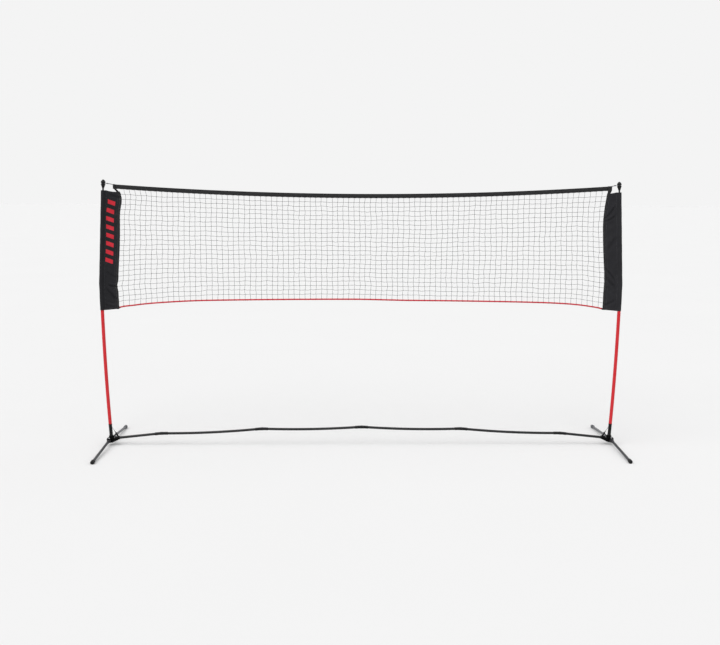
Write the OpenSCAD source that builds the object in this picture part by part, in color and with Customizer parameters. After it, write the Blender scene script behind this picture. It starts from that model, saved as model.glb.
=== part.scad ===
// Free-standing portable net: two poles in folding-leg hubs, a base bar between them,
// and a net with fabric side panels stretched from pole to pole.
// Millimetres. X runs along the net, Y from front to back, Z up; Z = 0 is the ground and
// X = Y = 0 is the middle. Side modules are drawn for the right side and mirrored.

/* [Poles] */
// Half the distance between the two pole feet
foot_x = 1500; // [1000:10:2400]
// Outward lean of a pole at its foot, in degrees
foot_lean = 3.4; // [3.3:0.1:4.2]
// Radius of the bow that the net's pull gives a lower tube
bow_r = 16000; // [15500:500:30000]
// Length of a lower pole, from the hub's mouth to the kink in its reducer
lower_len = 917; // [820:1:1100]
// Outside diameter of a lower tube
pole_d = 20; // [18:0.5:24]
// Wall of a lower tube
pole_wall = 1.2; // [0.8:0.1:2]
// Inward lean of an upper rod, in degrees
rod_lean = 3.1; // [1:0.1:5]
// Length of an upper rod, from the reducer's kink to the knob's groove
rod_len = 579; // [500:1:800]
// Diameter of an upper rod
rod_d = 10; // [8:0.5:12]
// Depth of an upper rod in its reducer, below the kink
rod_seat = 30; // [20:1:40]

/* [Pole ferrule and reducer] */
// Length of the ferrule's bare sleeve between the hub and the lower tube
ferrule_h = 72; // [60:1:100]
// Length of the spigots that stand inside the lower tube
spigot_h = 45; // [36:1:70]
// Length of the tapered plug below the ferrule's sleeve
plug_h = 31; // [26:1:34]
// Half angle of the plug's taper, in degrees; more than the foot's lean, so it lifts straight up
plug_taper = 5.5; // [5:0.1:7]
// Bore that the pole's elastic runs through
ferrule_bore_d = 8; // [6:0.5:10]
// Height of the elastic's side hole above the hub's mouth
side_hole_h = 50; // [36:1:54]
// Height of the reducer's cone above the kink
reducer_cone_h = 36; // [20:1:50]
// Diameter of the reducer at the top of its cone
reducer_top_d = 14; // [13:0.5:17]

/* [Knob] */
// Largest diameter of a knob
knob_d = 27; // [24:0.5:34]
// Diameter at the bottom of the groove that holds the top cord
groove_d = 19; // [17:0.5:21]
// Width of the groove
groove_w = 6; // [5:0.5:8]
// Height of the cap above the groove's middle
knob_cap_h = 22; // [18:1:30]
// Depth of the cone below the groove's middle
knob_cone_h = 27; // [20:1:36]

/* [Hub] */
// Height of the pole socket's mouth above the ground
mouth_z = 58; // [56:1:62]
// Underside of a hub above the ground
hub_z = 17; // [14:1:19]
// Width of a hub's spine, front to back
spine_w = 23; // [21:0.5:25]
// Outer diameter of the socket's collar
collar_d = 27; // [26:0.5:29]
// Distance of a leg pin outward from the pole's foot
pin_x = 8; // [6:0.5:10]
// Distance of a leg pin from the net's plane
pin_y = 22; // [21.5:0.5:26]
// Radius of the ears around a leg pin
ear_r = 11; // [10:0.5:11.5]
// Thickness of each ear
ear_t = 6; // [4:0.5:6.5]
// Underside of the lower ears above the ground
ear_z = 20; // [19.5:0.5:21]
// Height of the gap between the ears, which the leg's knuckle fills
ear_gap = 14; // [13:0.5:15]
// Diameter of a leg pin
pin_d = 6; // [5:0.5:7]
// Diameter of a leg pin's heads
pin_head_d = 10; // [9:0.5:12]
// Thickness of the A-shaped eye
eye_t = 4.5; // [4:0.1:4.8]
// Height of the eye's top above the ground
eye_z = 78; // [74:1:84]
// Depth of the bar's socket in the hub
bar_seat = 22; // [16:1:24]

/* [Legs] */
// Reach of a leg, from the net's plane to the middle of its foot cap
leg_reach = 390; // [300:5:600]
// Outside diameter of a leg tube
leg_d = 15; // [13:0.5:15.5]
// Wall of a leg tube
leg_wall = 1; // [0.8:0.1:1.5]
// Depth of a leg tube in its knuckle
knuckle_seat = 20; // [14:1:30]
// Outside diameter of a knuckle's sleeve
knuckle_d = 18; // [17.8:0.1:18.4]
// Diameter of a foot cap
cap_d = 22; // [20:0.5:26]
// Length of a foot cap
cap_l = 28; // [22:1:36]
// Depth of the flat worn on the underside of a foot cap
cap_flat = 0.6; // [0.4:0.1:1]

/* [Base bar] */
// Height of the bar's axis at the bottom of its socket in a hub
bar_hub_z = 43; // [41:0.5:45]
// Rise angle of the two end tubes, in degrees
end_rise = 6; // [4:0.1:7]
// Length of the bar's end tubes along X, from the poles' feet to the outer connectors
end_span = 300; // [200:10:400]
// Height of the inner connectors
inner_joint_z = 99.5; // [90:0.5:120]
// Height of the middle connector
mid_joint_z = 110.5; // [100:0.5:140]
// Sag of each long tube between its connectors
tube_sag = 8; // [4:0.5:12]
// Outside diameter of a bar tube
bar_d = 15; // [13:0.5:15.5]
// Wall of a bar tube
bar_wall = 1; // [0.8:0.1:1.5]
// Outside diameter of a connector
joint_d = 17.6; // [17.6:0.1:20]
// Length of each arm of a connector
joint_arm = 38; // [30:1:60]
// Thickness of the web in the middle of a connector
joint_web = 4; // [3:0.5:8]

/* [Side panels] */
// Distance from a pole's axis to the panel's inner edge
panel_w = 98; // [70:1:130]
// Distance of the panel's top below the knob's groove
panel_drop = 38; // [34:1:60]
// Height of a panel along its pole
panel_h = 700; // [560:1:720]
// How far the panel's inner corners are drawn in from level
corner_ease = 9; // [4:1:14]
// Thickness of the panel's doubled fabric
panel_t = 2.4; // [1.6:0.1:2.4]
// Radial clearance of the sleeve around the pole
sleeve_fit = 0.5; // [0.4:0.1:1.5]
// Thickness of the sleeve's fabric around the pole
sleeve_t = 1.6; // [1:0.1:2]
// Width of the edge tape on each face of the panel
tape_w = 12; // [8:1:18]
// Thickness of the edge tape
tape_t = 1.4; // [1:0.1:1.8]

/* [Top band] */
// Distance from the knob's axis to the end of the band
band_inset = 57; // [45:1:70]
// Distance of the band's ends below the knob's groove
band_drop = 5; // [3:0.5:10]
// Sag of the band in the middle
band_sag = 49; // [20:1:80]
// Height of the band
band_h = 25; // [20:1:40]
// Thickness of each of the band's two folds
band_skin = 1.2; // [0.8:0.1:1.6]

/* [Net] */
// Width of a mesh cell
cell_w = 32; // [24:1:60]
// Rows of mesh cells
net_rows = 23; // [12:1:26]
// Thickness of the net's thread
thread = 1.2; // [0.8:0.1:1.4]

/* [Cords] */
// Diameter of the top cord
top_cord_d = 2.4; // [2:0.1:2.6]
// Diameter of the bottom cord
bottom_cord_d = 9; // [5:0.5:11]
// Height of the bottom cord's underside at its ends above the panels' inner corners
cord_lift = 4; // [1:0.5:12]
// Rise of the bottom cord from its ends to its middle
bottom_rise = 51; // [20:1:90]
// Diameter of the bar's shock cord
shock_d = 5; // [4:0.5:5.5]
// Diameter of the poles' elastic and its tether
elastic_d = 2.2; // [1.8:0.1:2.6]

/* [Fits] */
// Radial clearance of a pin in its bore
pin_fit = 0.05; // [0.02:0.01:0.1]
// Radial clearance of a tube, rod or plug in its seat
seat_fit = 0.15; // [0.1:0.05:0.2]
// Clearance between pieces that turn or lift past each other, and around fabric and cord
free_gap = 0.3; // [0.25:0.05:0.5]

/* [Hidden] */
$fn = 48;
// Fragments of a full turn for the long arcs, whose radii are metres
arc_fn = 1440;
// Reach of a cutting shape past the face that it cuts
cut = 1;
// Stations along half of the band, the bottom cord and the net's rows
stations = 16;

black = "#1b1b1d";
charcoal = "#2e2e31";
steel = "#55565a";
rubber = "#141414";
red = "#cf1f2c";
thread_grey = "#4a4b50";

// ---- the pole's line: an arc from the hub's mouth to the kink, then a straight rod ----

// Centre of the lower tube's bow
bow_x = foot_x - bow_r * cos(foot_lean);
bow_z = mouth_z + bow_r * sin(foot_lean);
// Outward lean at the distance s along the lower tube
function lean_at(s) = foot_lean - s / bow_r * 180 / PI;
function lower_point(s) =
  [bow_x + bow_r * cos(lean_at(s)), bow_z - bow_r * sin(lean_at(s))];
// Distance along the lower tube to the height z
function lower_s(z) =
  (foot_lean - asin(sin(foot_lean) - (z - mouth_z) / bow_r)) * PI / 180 * bow_r;
kink = lower_point(lower_len);
groove = kink + rod_len * [-sin(rod_lean), cos(rod_lean)];
// X of the pole's axis at the height z
function pole_x(z) =
  z < kink[1] ? lower_point(lower_s(z))[0] : kink[0] - tan(rod_lean) * (z - kink[1]);

pole_r = pole_d / 2;
spigot_d = pole_d - 2 * pole_wall - 2 * seat_fit;
// Top of the lower tube, where the reducer's collar starts
reducer_collar_h = 6;
tube_top = lower_len - reducer_collar_h;
plug_mouth_r = pole_r - free_gap;
plug_tip_r = plug_mouth_r - plug_h * tan(plug_taper);

// ---- the bar's line: a straight end tube, then two tubes that hang between joints ----

socket_in = 28;
boss_out = socket_in + bar_seat;
outer_joint_x = foot_x - end_span;
inner_joint_x = outer_joint_x / 2;
bar_in = [foot_x - socket_in, bar_hub_z];
outer_joint = bar_in + (bar_in[0] - outer_joint_x) * [-1, tan(end_rise)];
inner_joint = [inner_joint_x, inner_joint_z];
mid_joint = [0, mid_joint_z];
// The arc that hangs by sag below the chord from the outer point a to the inner point b:
// [centre x, centre z, radius, angle at b, angle at a]
function hang(a, b, sag) =
  let (len = norm(a - b), r = (len * len / 4 + sag * sag) / (2 * sag))
  let (c = (a + b) / 2 + (r - sag) / len * [b[1] - a[1], a[0] - b[0]])
  [c[0], c[1], r, atan2(b[1] - c[1], b[0] - c[0]), atan2(a[1] - c[1], a[0] - c[0])];
outer_hang = hang(outer_joint, inner_joint, tube_sag);
inner_hang = hang(inner_joint, mid_joint, tube_sag);
function hang_point(h, angle) = [h[0] + h[2] * cos(angle), h[1] + h[2] * sin(angle)];
// The angle that a length takes up on an arc
function hang_turn(h, length) = length / h[2] * 180 / PI;

// ---- the legs' line ----

leg_z = ear_z + ear_t + ear_gap / 2;
cap_z = cap_d / 2 - cap_flat;
leg_drop = atan((leg_z - cap_z) / (leg_reach - pin_y));
leg_len = (leg_reach - pin_y) / cos(leg_drop);
eye_r = ear_r - 1.5;
sleeve_start = ear_r + 1;
sleeve_floor = 2;
cap_floor = 6;
pin_head_h = 2;

// ---- the fabric's and the cords' lines ----

panel_top = groove[1] - panel_drop;
panel_bottom = panel_top - panel_h;
panel_top_in = panel_top - corner_ease;
panel_bottom_in = panel_bottom + corner_ease;
sleeve_r = pole_r + sleeve_fit;
hem_r = sleeve_r + sleeve_t;
// X of the panel's inner edge at the height z
function edge_x(z) = pole_x(z) - panel_w;
band_x = groove[0] - band_inset;
band_end_z = groove[1] - band_drop;
// Top edge of the band
function band_z(x) = band_end_z - band_sag + band_sag * (x / band_x) ^ 2;
channel = top_cord_d + 2 * free_gap;
band_t = channel + 2 * band_skin;
// Middle of the bottom cord: it leaves the panels steeply and then runs almost level
cord_end_z = panel_bottom_in + bottom_cord_d / 2 + cord_lift;
level_share = 0.4;
steep_power = 12;
// Rise of the cord per length at its ends, which tips its end faces towards the panels
end_slope = bottom_rise * (2 * level_share + steep_power * (1 - level_share)) / foot_x;
cord_x = edge_x(cord_end_z) - tape_t - 3 * free_gap - end_slope * bottom_cord_d / 2;
function cord_drop(u) = level_share * u ^ 2 + (1 - level_share) * u ^ steep_power;
function cord_z(x) = cord_end_z + bottom_rise * (1 - cord_drop(abs(x / cord_x)));
// Stations from -1 to 1 that crowd towards the ends
crowded = [for (i = [-stations:stations]) sin(90 * i / stations)];
even = [for (i = [-stations:stations]) i / stations];
net_gap = free_gap;
function net_top(x) = band_z(x) - band_h - net_gap;
function net_bottom(x) = cord_z(x) + bottom_cord_d / 2 + net_gap;
// Height of the net's row j at x
function row_z(j, x) = net_top(x) + (net_bottom(x) - net_top(x)) * j / net_rows;
// Where row j meets the edge tape, found by stepping towards it
function row_end(j, x, steps = 4) =
  steps == 0 ? x : row_end(j, edge_x(row_z(j, x)) - tape_t - 2 * free_gap, steps - 1);
// The outer threads lean with the panels' inner edges; those further in hang ever straighter
mesh_mid = (band_end_z - band_h + panel_bottom_in) / 2;
lean_power = 5;
function leaned(x, z) = x + sign(x) * (edge_x(z) - edge_x(mesh_mid))
  * (abs(x) / edge_x(mesh_mid)) ^ lean_power;
thread_count = 2 * floor((edge_x(mesh_mid) - tape_t - thread) / cell_w + 0.5);

// The tether's line, from its hole in the eye to the side hole of the ferrule
eye_hole = [foot_x - 30, eye_z - 6];
eye_hole_r = 2.4;
eye_tip_r = 6;
tether_exit = lower_point(side_hole_h) - [pole_r, 0];
tether_run = tether_exit - eye_hole;
tether_dir = tether_run / norm(tether_run);
// The tether's loop is wide enough to clear the corners of the eye's rounded tip
tether_ring_slack = 0.85;
tether_ring_r = (eye_t + elastic_d) / 2 + tether_ring_slack;
// Where the tether's line meets the middle of the ferrule
elastic_turn = tether_exit + tether_dir * pole_r / tether_dir[0];
ferrule_bore_s = lower_s(elastic_turn[1]) - 2;

// ---- placing ----

module on_side(side) {
  if (side == "left") mirror([1, 0, 0]) children();
  else children();
}

module on_end(end) {
  if (end == "rear") mirror([0, 1, 0]) children();
  else children();
}

// Sweeps a flat shape, drawn around the tube's axis, along the lower tube from s0 to s1
module along_lower(s0, s1)
  translate([bow_x, 0, bow_z]) rotate([90, 0, 0]) rotate(-lean_at(s0))
    rotate_extrude(angle = lean_at(s0) - lean_at(s1), $fn = arc_fn)
      translate([bow_r, 0]) children();

// Z along the lower tube, at the distance s
module at_lower(s)
  translate([lower_point(s)[0], 0, lower_point(s)[1]]) rotate([0, lean_at(s), 0]) children();

// Z along the upper rod, at the distance s from the kink
module at_rod(s)
  translate([kink[0], 0, kink[1]]) rotate([0, -rod_lean, 0]) translate([0, 0, s]) children();

// Z inward along the bar's end tube, at the distance s from the bottom of its socket
module at_end_tube(s)
  translate([bar_in[0], 0, bar_in[1]]) rotate([0, end_rise - 90, 0]) translate([0, 0, s])
    children();

// Sweeps a flat shape along an arc of the bar, from angle a0 to angle a1
module along_hang(h, a0, a1)
  translate([h[0], 0, h[1]]) rotate([90, 0, 0]) rotate(a0)
    rotate_extrude(angle = a1 - a0, $fn = arc_fn) translate([h[2], 0]) children();

// Z outward along an arc of the bar, at the given angle
module at_hang(h, angle)
  translate([hang_point(h, angle)[0], 0, hang_point(h, angle)[1]]) rotate([0, -angle, 0])
    children();

// Z outward and down along the front leg, at the distance s from its pin
module at_leg(s)
  translate([foot_x + pin_x, -pin_y, leg_z]) rotate([90 + leg_drop, 0, 0])
    translate([0, 0, s]) children();

module disc(d) circle(d = d, $fn = 48);

module tube_ring(outer_d, wall) {
  difference() {
    disc(outer_d);
    disc(outer_d - 2 * wall);
  }
}

// A flat bar with round ends from a to b
module strut(a, b, w) {
  translate(a) circle(d = w);
  translate(b) circle(d = w);
  translate(a) rotate(atan2(b[1] - a[1], b[0] - a[0]))
    translate([0, -w / 2]) square([norm(b - a), w]);
}

// Stands a shape drawn in X and Z upright, between y0 and y1
module upright(y0, y1)
  translate([0, y1, 0]) rotate([90, 0, 0]) linear_extrude(y1 - y0) children();

// The flat strip between two heights over the same stations
module strip(xs, low, high) polygon(concat(
  [for (i = [0:len(xs) - 1]) [xs[i], high[i]]],
  [for (i = [len(xs) - 1:-1:0]) [xs[i], low[i]]]));

// ---- cords: a tube of n flat sides along a path ----

function unit(v) = v / norm(v);
// The ring of points around the path's point i; side is a direction that the path never takes
function cord_ring(path, i, r, n, side) =
  let (t = unit(path[min(i + 1, len(path) - 1)] - path[max(i - 1, 0)]))
  let (across = unit(cross(t, side)), up = cross(across, t))
  [for (k = [0:n - 1])
    path[i] + r * cos(360 * k / n) * across + r * sin(360 * k / n) * up];

// ds is one diameter for each point of the path
module cord(path, ds, side = [0, 1, 0], n = 8) {
  last = (len(path) - 1) * n;
  polyhedron(
    [for (i = [0:len(path) - 1]) each cord_ring(path, i, ds[i] / 2, n, side)],
    concat(
      [[for (k = [0:n - 1]) k]],
      [for (i = [0:n:last - 1], k = [0:n - 1]) let (j = (k + 1) % n)
        [i + j, i + k, i + n + k, i + n + j]],
      [[for (k = [n - 1:-1:0]) last + k]]),
    convexity = 10);
}

// The same path on the other side, from the middle outward
function mirrored(path) =
  [for (i = [len(path) - 1:-1:0]) [-path[i][0], path[i][1], path[i][2]]];
// A path in the net's plane
function standing(path) = [for (p = path) [p[0], 0, p[1]]];
function all_of(path, d) = [for (p = path) d];

// ---- hub ----

ear_top = ear_z + 2 * ear_t + ear_gap;
collar_h = mouth_z - ear_top + 3;
spine_outline = [
  [26, ear_z + 4], [16, hub_z], [-8, hub_z], [-46, bar_hub_z - 7],
  [-46, bar_hub_z + 2], [-12, ear_top - 1], [22, ear_top - 1], [26, ear_top - 6]
];

module ear(y)
  linear_extrude(ear_t) difference() {
    union() {
      translate([foot_x + pin_x, y]) circle(ear_r);
      translate([foot_x + pin_x - ear_r, min(y, 0)]) square([2 * ear_r, pin_y]);
    }
    translate([foot_x + pin_x, y]) circle(d = pin_d + 2 * pin_fit);
  }

module eye_plate() {
  tip = eye_hole;
  difference() {
    union() {
      strut([foot_x - 12, ear_top], tip, 5.5);
      strut(tip, [foot_x - 43, bar_hub_z + 7], 8);
      translate(tip) circle(eye_tip_r);
    }
    translate(tip) circle(eye_hole_r);
  }
}

module hub_body() {
  difference() {
    union() {
      translate([foot_x, 0]) upright(-spine_w / 2, spine_w / 2) polygon(spine_outline);
      for (y = [-pin_y, pin_y], z = [ear_z, ear_z + ear_t + ear_gap])
        translate([0, 0, z]) ear(y);
      at_lower(-collar_h) cylinder(h = collar_h, d = collar_d);
      at_end_tube(-4) cylinder(h = boss_out - socket_in + 4, d = bar_d + 6);
      upright(-eye_t / 2, eye_t / 2) eye_plate();
    }
    // Tapered pole socket, open at the top
    at_lower(0) rotate_extrude() polygon([
      [0, -plug_h - free_gap], [plug_tip_r + free_gap, -plug_h - free_gap],
      [plug_mouth_r + free_gap, 0], [plug_mouth_r + free_gap, cut], [0, cut]]);
    at_end_tube(0) cylinder(h = boss_out, d = bar_d + 2 * seat_fit);
    // Room for the knuckles to swing between the ears
    for (y = [-pin_y, pin_y]) translate([foot_x + pin_x, y, ear_z + ear_t])
      cylinder(h = ear_gap, r = eye_r + free_gap);
  }
}

module hub(side) color(black) on_side(side) hub_body();

module leg_pins(side) color(steel) on_side(side)
  for (y = [-pin_y, pin_y]) translate([foot_x + pin_x, y, 0]) rotate_extrude() polygon([
    [0, ear_z - pin_head_h], [pin_head_d / 2 - 1, ear_z - pin_head_h],
    [pin_head_d / 2, ear_z - pin_fit], [pin_d / 2, ear_z - pin_fit],
    [pin_d / 2, ear_top + pin_fit], [pin_head_d / 2, ear_top + pin_fit],
    [pin_head_d / 2 - 1, ear_top + pin_head_h], [0, ear_top + pin_head_h]]);

// ---- legs, drawn for the front right and mirrored ----

module knuckle_body() {
  eye_h = ear_gap - 2 * free_gap;
  difference() {
    union() {
      translate([foot_x + pin_x, -pin_y, leg_z]) {
        cylinder(h = eye_h, r = eye_r, center = true);
        translate([-eye_r + 1, -sleeve_start - sleeve_floor, -eye_h / 2])
          cube([2 * eye_r - 2, sleeve_start + sleeve_floor, eye_h]);
      }
      at_leg(sleeve_start) cylinder(h = sleeve_floor + knuckle_seat, d = knuckle_d);
    }
    translate([foot_x + pin_x, -pin_y, leg_z])
      cylinder(h = ear_gap, d = pin_d + 2 * pin_fit, center = true);
    at_leg(sleeve_start + sleeve_floor)
      cylinder(h = knuckle_seat + cut, d = leg_d + 2 * seat_fit);
  }
}

module leg_tube_body()
  at_leg(sleeve_start + sleeve_floor + seat_fit)
    linear_extrude(leg_len + cap_l / 2 - cap_floor - sleeve_start - sleeve_floor - 2 * seat_fit)
      tube_ring(leg_d, leg_wall);

module foot_cap_body() {
  round_r = 4;
  difference() {
    at_leg(leg_len - cap_l / 2) rotate_extrude() polygon(concat(
      [[leg_d / 2 + seat_fit, 0], [cap_d / 2 - 1, 0], [cap_d / 2, 1]],
      [for (a = [0:15:90]) [cap_d / 2 - round_r * (1 - cos(a)), cap_l - round_r * (1 - sin(a))]],
      [[0, cap_l], [0, cap_l - cap_floor], [leg_d / 2 + seat_fit, cap_l - cap_floor]]));
    // The flat that stands on the ground
    translate([foot_x, -leg_reach - cap_l, -cap_d]) cube([cap_d * 2, 2 * cap_l, cap_d]);
  }
}

module leg_knuckle(side, end) color(black) on_side(side) on_end(end) knuckle_body();
module leg_tube(side, end) color(steel) on_side(side) on_end(end) leg_tube_body();
module foot_cap(side, end) color(rubber) on_side(side) on_end(end) foot_cap_body();

// ---- base bar ----

module end_tube_body()
  at_end_tube(seat_fit) linear_extrude(norm(outer_joint - bar_in) - joint_web / 2 - seat_fit)
    tube_ring(bar_d, bar_wall);

module hanging_tube(h)
  along_hang(h, h[3] + hang_turn(h, joint_web / 2), h[4] - hang_turn(h, joint_web / 2))
    tube_ring(bar_d, bar_wall);

module bar_tube_end(side) color(steel) on_side(side) end_tube_body();
module bar_tube_outer(side) color(steel) on_side(side) hanging_tube(outer_hang);
module bar_tube_inner(side) color(steel) on_side(side) hanging_tube(inner_hang);

// One arm of a connector on the end of a hanging tube; outward is 1 at its inner end, -1 at
// its outer end, and the arm is centred where the tube's arc passes through its middle
module hang_arm(h, outward, from, to, d) {
  angle = outward > 0 ? h[3] : h[4];
  at_hang(h, angle + outward * hang_turn(h, (from + to) / 2))
    cylinder(h = to - from, d = d, center = true);
}

module end_arm(from, to, d)
  at_end_tube(norm(outer_joint - bar_in) - to) cylinder(h = to - from, d = d);

module connector_ball(joint)
  translate([joint[0], 0, joint[1]]) sphere(d = joint_d + 1);

bore_d = bar_d + 2 * seat_fit;
cord_hole_d = shock_d + 2 * free_gap;

module outer_connector_body() {
  difference() {
    union() {
      end_arm(0, joint_arm, joint_d);
      hang_arm(outer_hang, -1, 0, joint_arm, joint_d);
      connector_ball(outer_joint);
    }
    end_arm(joint_web / 2, joint_arm + cut, bore_d);
    hang_arm(outer_hang, -1, joint_web / 2, joint_arm + cut, bore_d);
    end_arm(-joint_web, joint_web, cord_hole_d);
    hang_arm(outer_hang, -1, -joint_web, joint_web, cord_hole_d);
  }
}

module inner_connector_body() {
  difference() {
    union() {
      hang_arm(outer_hang, 1, 0, joint_arm, joint_d);
      hang_arm(inner_hang, -1, 0, joint_arm, joint_d);
      connector_ball(inner_joint);
    }
    hang_arm(outer_hang, 1, joint_web / 2, joint_arm + cut, bore_d);
    hang_arm(inner_hang, -1, joint_web / 2, joint_arm + cut, bore_d);
    hang_arm(outer_hang, 1, -joint_web, joint_web, cord_hole_d);
    hang_arm(inner_hang, -1, -joint_web, joint_web, cord_hole_d);
  }
}

module middle_connector_body() {
  difference() {
    union() {
      for (side = ["left", "right"])
        on_side(side) hang_arm(inner_hang, 1, 0, joint_arm, joint_d);
      connector_ball(mid_joint);
    }
    for (side = ["left", "right"]) on_side(side) {
      hang_arm(inner_hang, 1, joint_web / 2, joint_arm + cut, bore_d);
      hang_arm(inner_hang, 1, -joint_web, joint_web, cord_hole_d);
    }
  }
}

module bar_connector_outer(side) color(black) on_side(side) outer_connector_body();
module bar_connector_inner(side) color(black) on_side(side) inner_connector_body();
module bar_connector_middle() color(black) middle_connector_body();

hang_steps = 6;
function hang_path(h) =
  [for (i = [hang_steps:-1:1]) hang_point(h, h[3] + (h[4] - h[3]) * i / hang_steps)];
// The knots that hold the shock cord's ends: [distance from the socket's bottom, diameter]
knot = [
  [free_gap, 1.2 * shock_d], [free_gap + 2, 1.8 * shock_d],
  [free_gap + 6, 1.8 * shock_d], [free_gap + 8, shock_d]
];

module bar_shock_cord() color("#26262a") {
  half = concat([for (k = knot) bar_in + k[0] * [-cos(end_rise), sin(end_rise)]],
    hang_path(outer_hang), hang_path(inner_hang));
  path = standing(concat(half, [mid_joint]));
  ds = concat([for (k = knot) k[1]], [for (i = [len(knot):len(half)]) shock_d]);
  back = [for (i = [len(half) - 1:-1:0]) ds[i]];
  cord(concat(path, mirrored(standing(half))), concat(ds, back));
}

// ---- poles ----

module ferrule_body() {
  difference() {
    union() {
      along_lower(0, ferrule_h) disc(pole_d);
      at_lower(0) rotate_extrude() polygon([
        [0, -plug_h], [plug_tip_r, -plug_h], [plug_mouth_r, 0], [plug_mouth_r, cut], [0, cut]]);
      at_lower(ferrule_h) translate([0, 0, -cut]) cylinder(h = spigot_h + cut, d = spigot_d);
    }
    at_lower(ferrule_h) translate([0, 0, ferrule_bore_s - ferrule_h])
      cylinder(h = spigot_h + ferrule_h, d = ferrule_bore_d);
    translate([eye_hole[0], 0, eye_hole[1]])
      rotate([0, atan2(tether_dir[0], tether_dir[1]), 0])
        cylinder(h = norm(elastic_turn - eye_hole), d = elastic_d + 2 * free_gap);
  }
}

module pole_tube_body() along_lower(ferrule_h, tube_top) tube_ring(pole_d, pole_wall);

module reducer_body() {
  difference() {
    union() {
      at_lower(tube_top) cylinder(h = reducer_collar_h, d = pole_d);
      at_lower(tube_top) translate([0, 0, -spigot_h]) cylinder(h = spigot_h + cut, d = spigot_d);
      at_rod(-2 * cut) cylinder(h = reducer_cone_h + 2 * cut, d1 = pole_d - 1, d2 = reducer_top_d);
    }
    at_rod(-rod_seat) cylinder(h = rod_seat + reducer_cone_h + cut, d = rod_d + 2 * seat_fit);
    at_lower(tube_top - spigot_h - cut)
      cylinder(h = elastic_seat + cut, d = elastic_d + 2 * free_gap);
  }
}

rod_in_knob = 6;
module pole_rod_body()
  at_rod(-rod_seat + seat_fit)
    cylinder(h = rod_seat + rod_len + rod_in_knob - 2 * seat_fit, d = rod_d);

module knob_body() {
  cap_start = groove_w / 2 + 5;
  difference() {
    at_rod(rod_len) rotate_extrude() polygon(concat(
      [[0, -knob_cone_h], [rod_d / 2 + 1.5, -knob_cone_h],
       [knob_d / 2, -groove_w / 2 - 2], [knob_d / 2 - 0.5, -groove_w / 2],
       [groove_d / 2, -groove_w / 2], [groove_d / 2, groove_w / 2],
       [knob_d / 2 - 1, groove_w / 2]],
      [for (a = [0:15:90])
        [knob_d / 2 * cos(a), cap_start + (knob_cap_h - cap_start) * sin(a)]]));
    at_rod(rod_len - knob_cone_h - cut)
      cylinder(h = knob_cone_h + rod_in_knob + cut, d = rod_d + 2 * seat_fit);
  }
}

module pole_ferrule(side) color(black) on_side(side) ferrule_body();
module pole_tube(side) color(red) on_side(side) pole_tube_body();
module pole_reducer(side) color(black) on_side(side) reducer_body();
module pole_rod(side) color(black) on_side(side) pole_rod_body();
module knob(side) color(black) on_side(side) knob_body();

elastic_seat = 12;
elastic_steps = 12;
elastic_top = tube_top - spigot_h + elastic_seat - free_gap;
elastic_low = ferrule_bore_s + 12;

module pole_elastic(side) color("#3a3a3e") on_side(side) {
  path = standing(concat([tether_exit, elastic_turn], [for (i = [0:elastic_steps])
    lower_point(elastic_low + (elastic_top - elastic_low) * i / elastic_steps)]));
  cord(path, all_of(path, elastic_d));
}

// A ring tied through the eye's hole, and the straight run up to the ferrule
module tether(side) color("#3a3a3e") on_side(side)
  translate([eye_hole[0], 0, eye_hole[1]])
    rotate([0, atan2(tether_dir[0], tether_dir[1]), 0]) {
      translate([0, 0, tether_ring_r]) rotate([0, 90, 0])
        rotate_extrude() translate([tether_ring_r, 0]) circle(d = elastic_d);
      translate([0, 0, 2 * tether_ring_r])
        cylinder(h = norm(tether_run) - 2 * tether_ring_r - pin_fit, d = elastic_d);
    }

// ---- side panels and edge tapes ----

// The panel with its tunnel, which is a little narrower around the rod than below the kink
module panel_body() {
  low = kink[1] - panel_bottom;
  high = (panel_top - kink[1]) / cos(rod_lean);
  lean = atan2(kink[0] - pole_x(panel_bottom), low);
  narrow = 0.5;
  overlap = 3;
  seam = sleeve_r + sleeve_t / 2 - narrow / 2;
  ease = 1.5;
  difference() {
    union() {
      upright(-panel_t / 2, panel_t / 2) polygon([
        [pole_x(panel_bottom) - seam, panel_bottom + ease], [kink[0] - seam, kink[1]],
        [pole_x(panel_top) - seam, panel_top - ease], [edge_x(panel_top_in), panel_top_in],
        [kink[0] - panel_w, kink[1]], [edge_x(panel_bottom_in), panel_bottom_in]]);
      translate([kink[0], 0, kink[1]]) rotate([0, lean, 0]) translate([0, 0, -low])
        cylinder(h = low + 2 * cut, r = hem_r);
      at_rod(-overlap) cylinder(h = high + overlap, r = hem_r - narrow);
    }
    translate([kink[0], 0, kink[1]]) rotate([0, lean, 0]) translate([0, 0, -low - cut])
      cylinder(h = low + 2 * cut, r = sleeve_r);
    at_rod(-cut) cylinder(h = high + 2 * cut, r = sleeve_r - narrow);
  }
}

// The tape's outline from a to b, measured from the panel's inner edge
module tape_strip(a, b) {
  zs = [panel_bottom_in, kink[1], panel_top_in];
  polygon(concat([for (z = zs) [edge_x(z) + b, z]],
    [for (i = [len(zs) - 1:-1:0]) [edge_x(zs[i]) + a, zs[i]]]));
}

// The strap that carries the panel's corner from the end of the band
module corner_strap() {
  corner = [edge_x(panel_top_in), panel_top_in];
  band_low = band_end_z - band_h;
  polygon([
    [band_x + free_gap, band_end_z], [band_x + free_gap + tape_w / 2, band_end_z],
    [band_x + free_gap + tape_w / 2, band_low - 7], [corner[0] + tape_w - 2, corner[1] - 6],
    [corner[0] - 1.5, corner[1] - 6], [corner[0] - 1.5, corner[1] + 4],
    [band_x + free_gap, band_low - free_gap]]);
}

module tape_body() {
  near = panel_t / 2 + free_gap;
  far = near + tape_t;
  fold = -free_gap - tape_t;
  upright(-far, -near) {
    tape_strip(fold, tape_w + fold);
    corner_strap();
  }
  upright(near, far) tape_strip(fold, tape_w + fold);
  upright(-far, far) tape_strip(fold, -free_gap);
}

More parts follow.
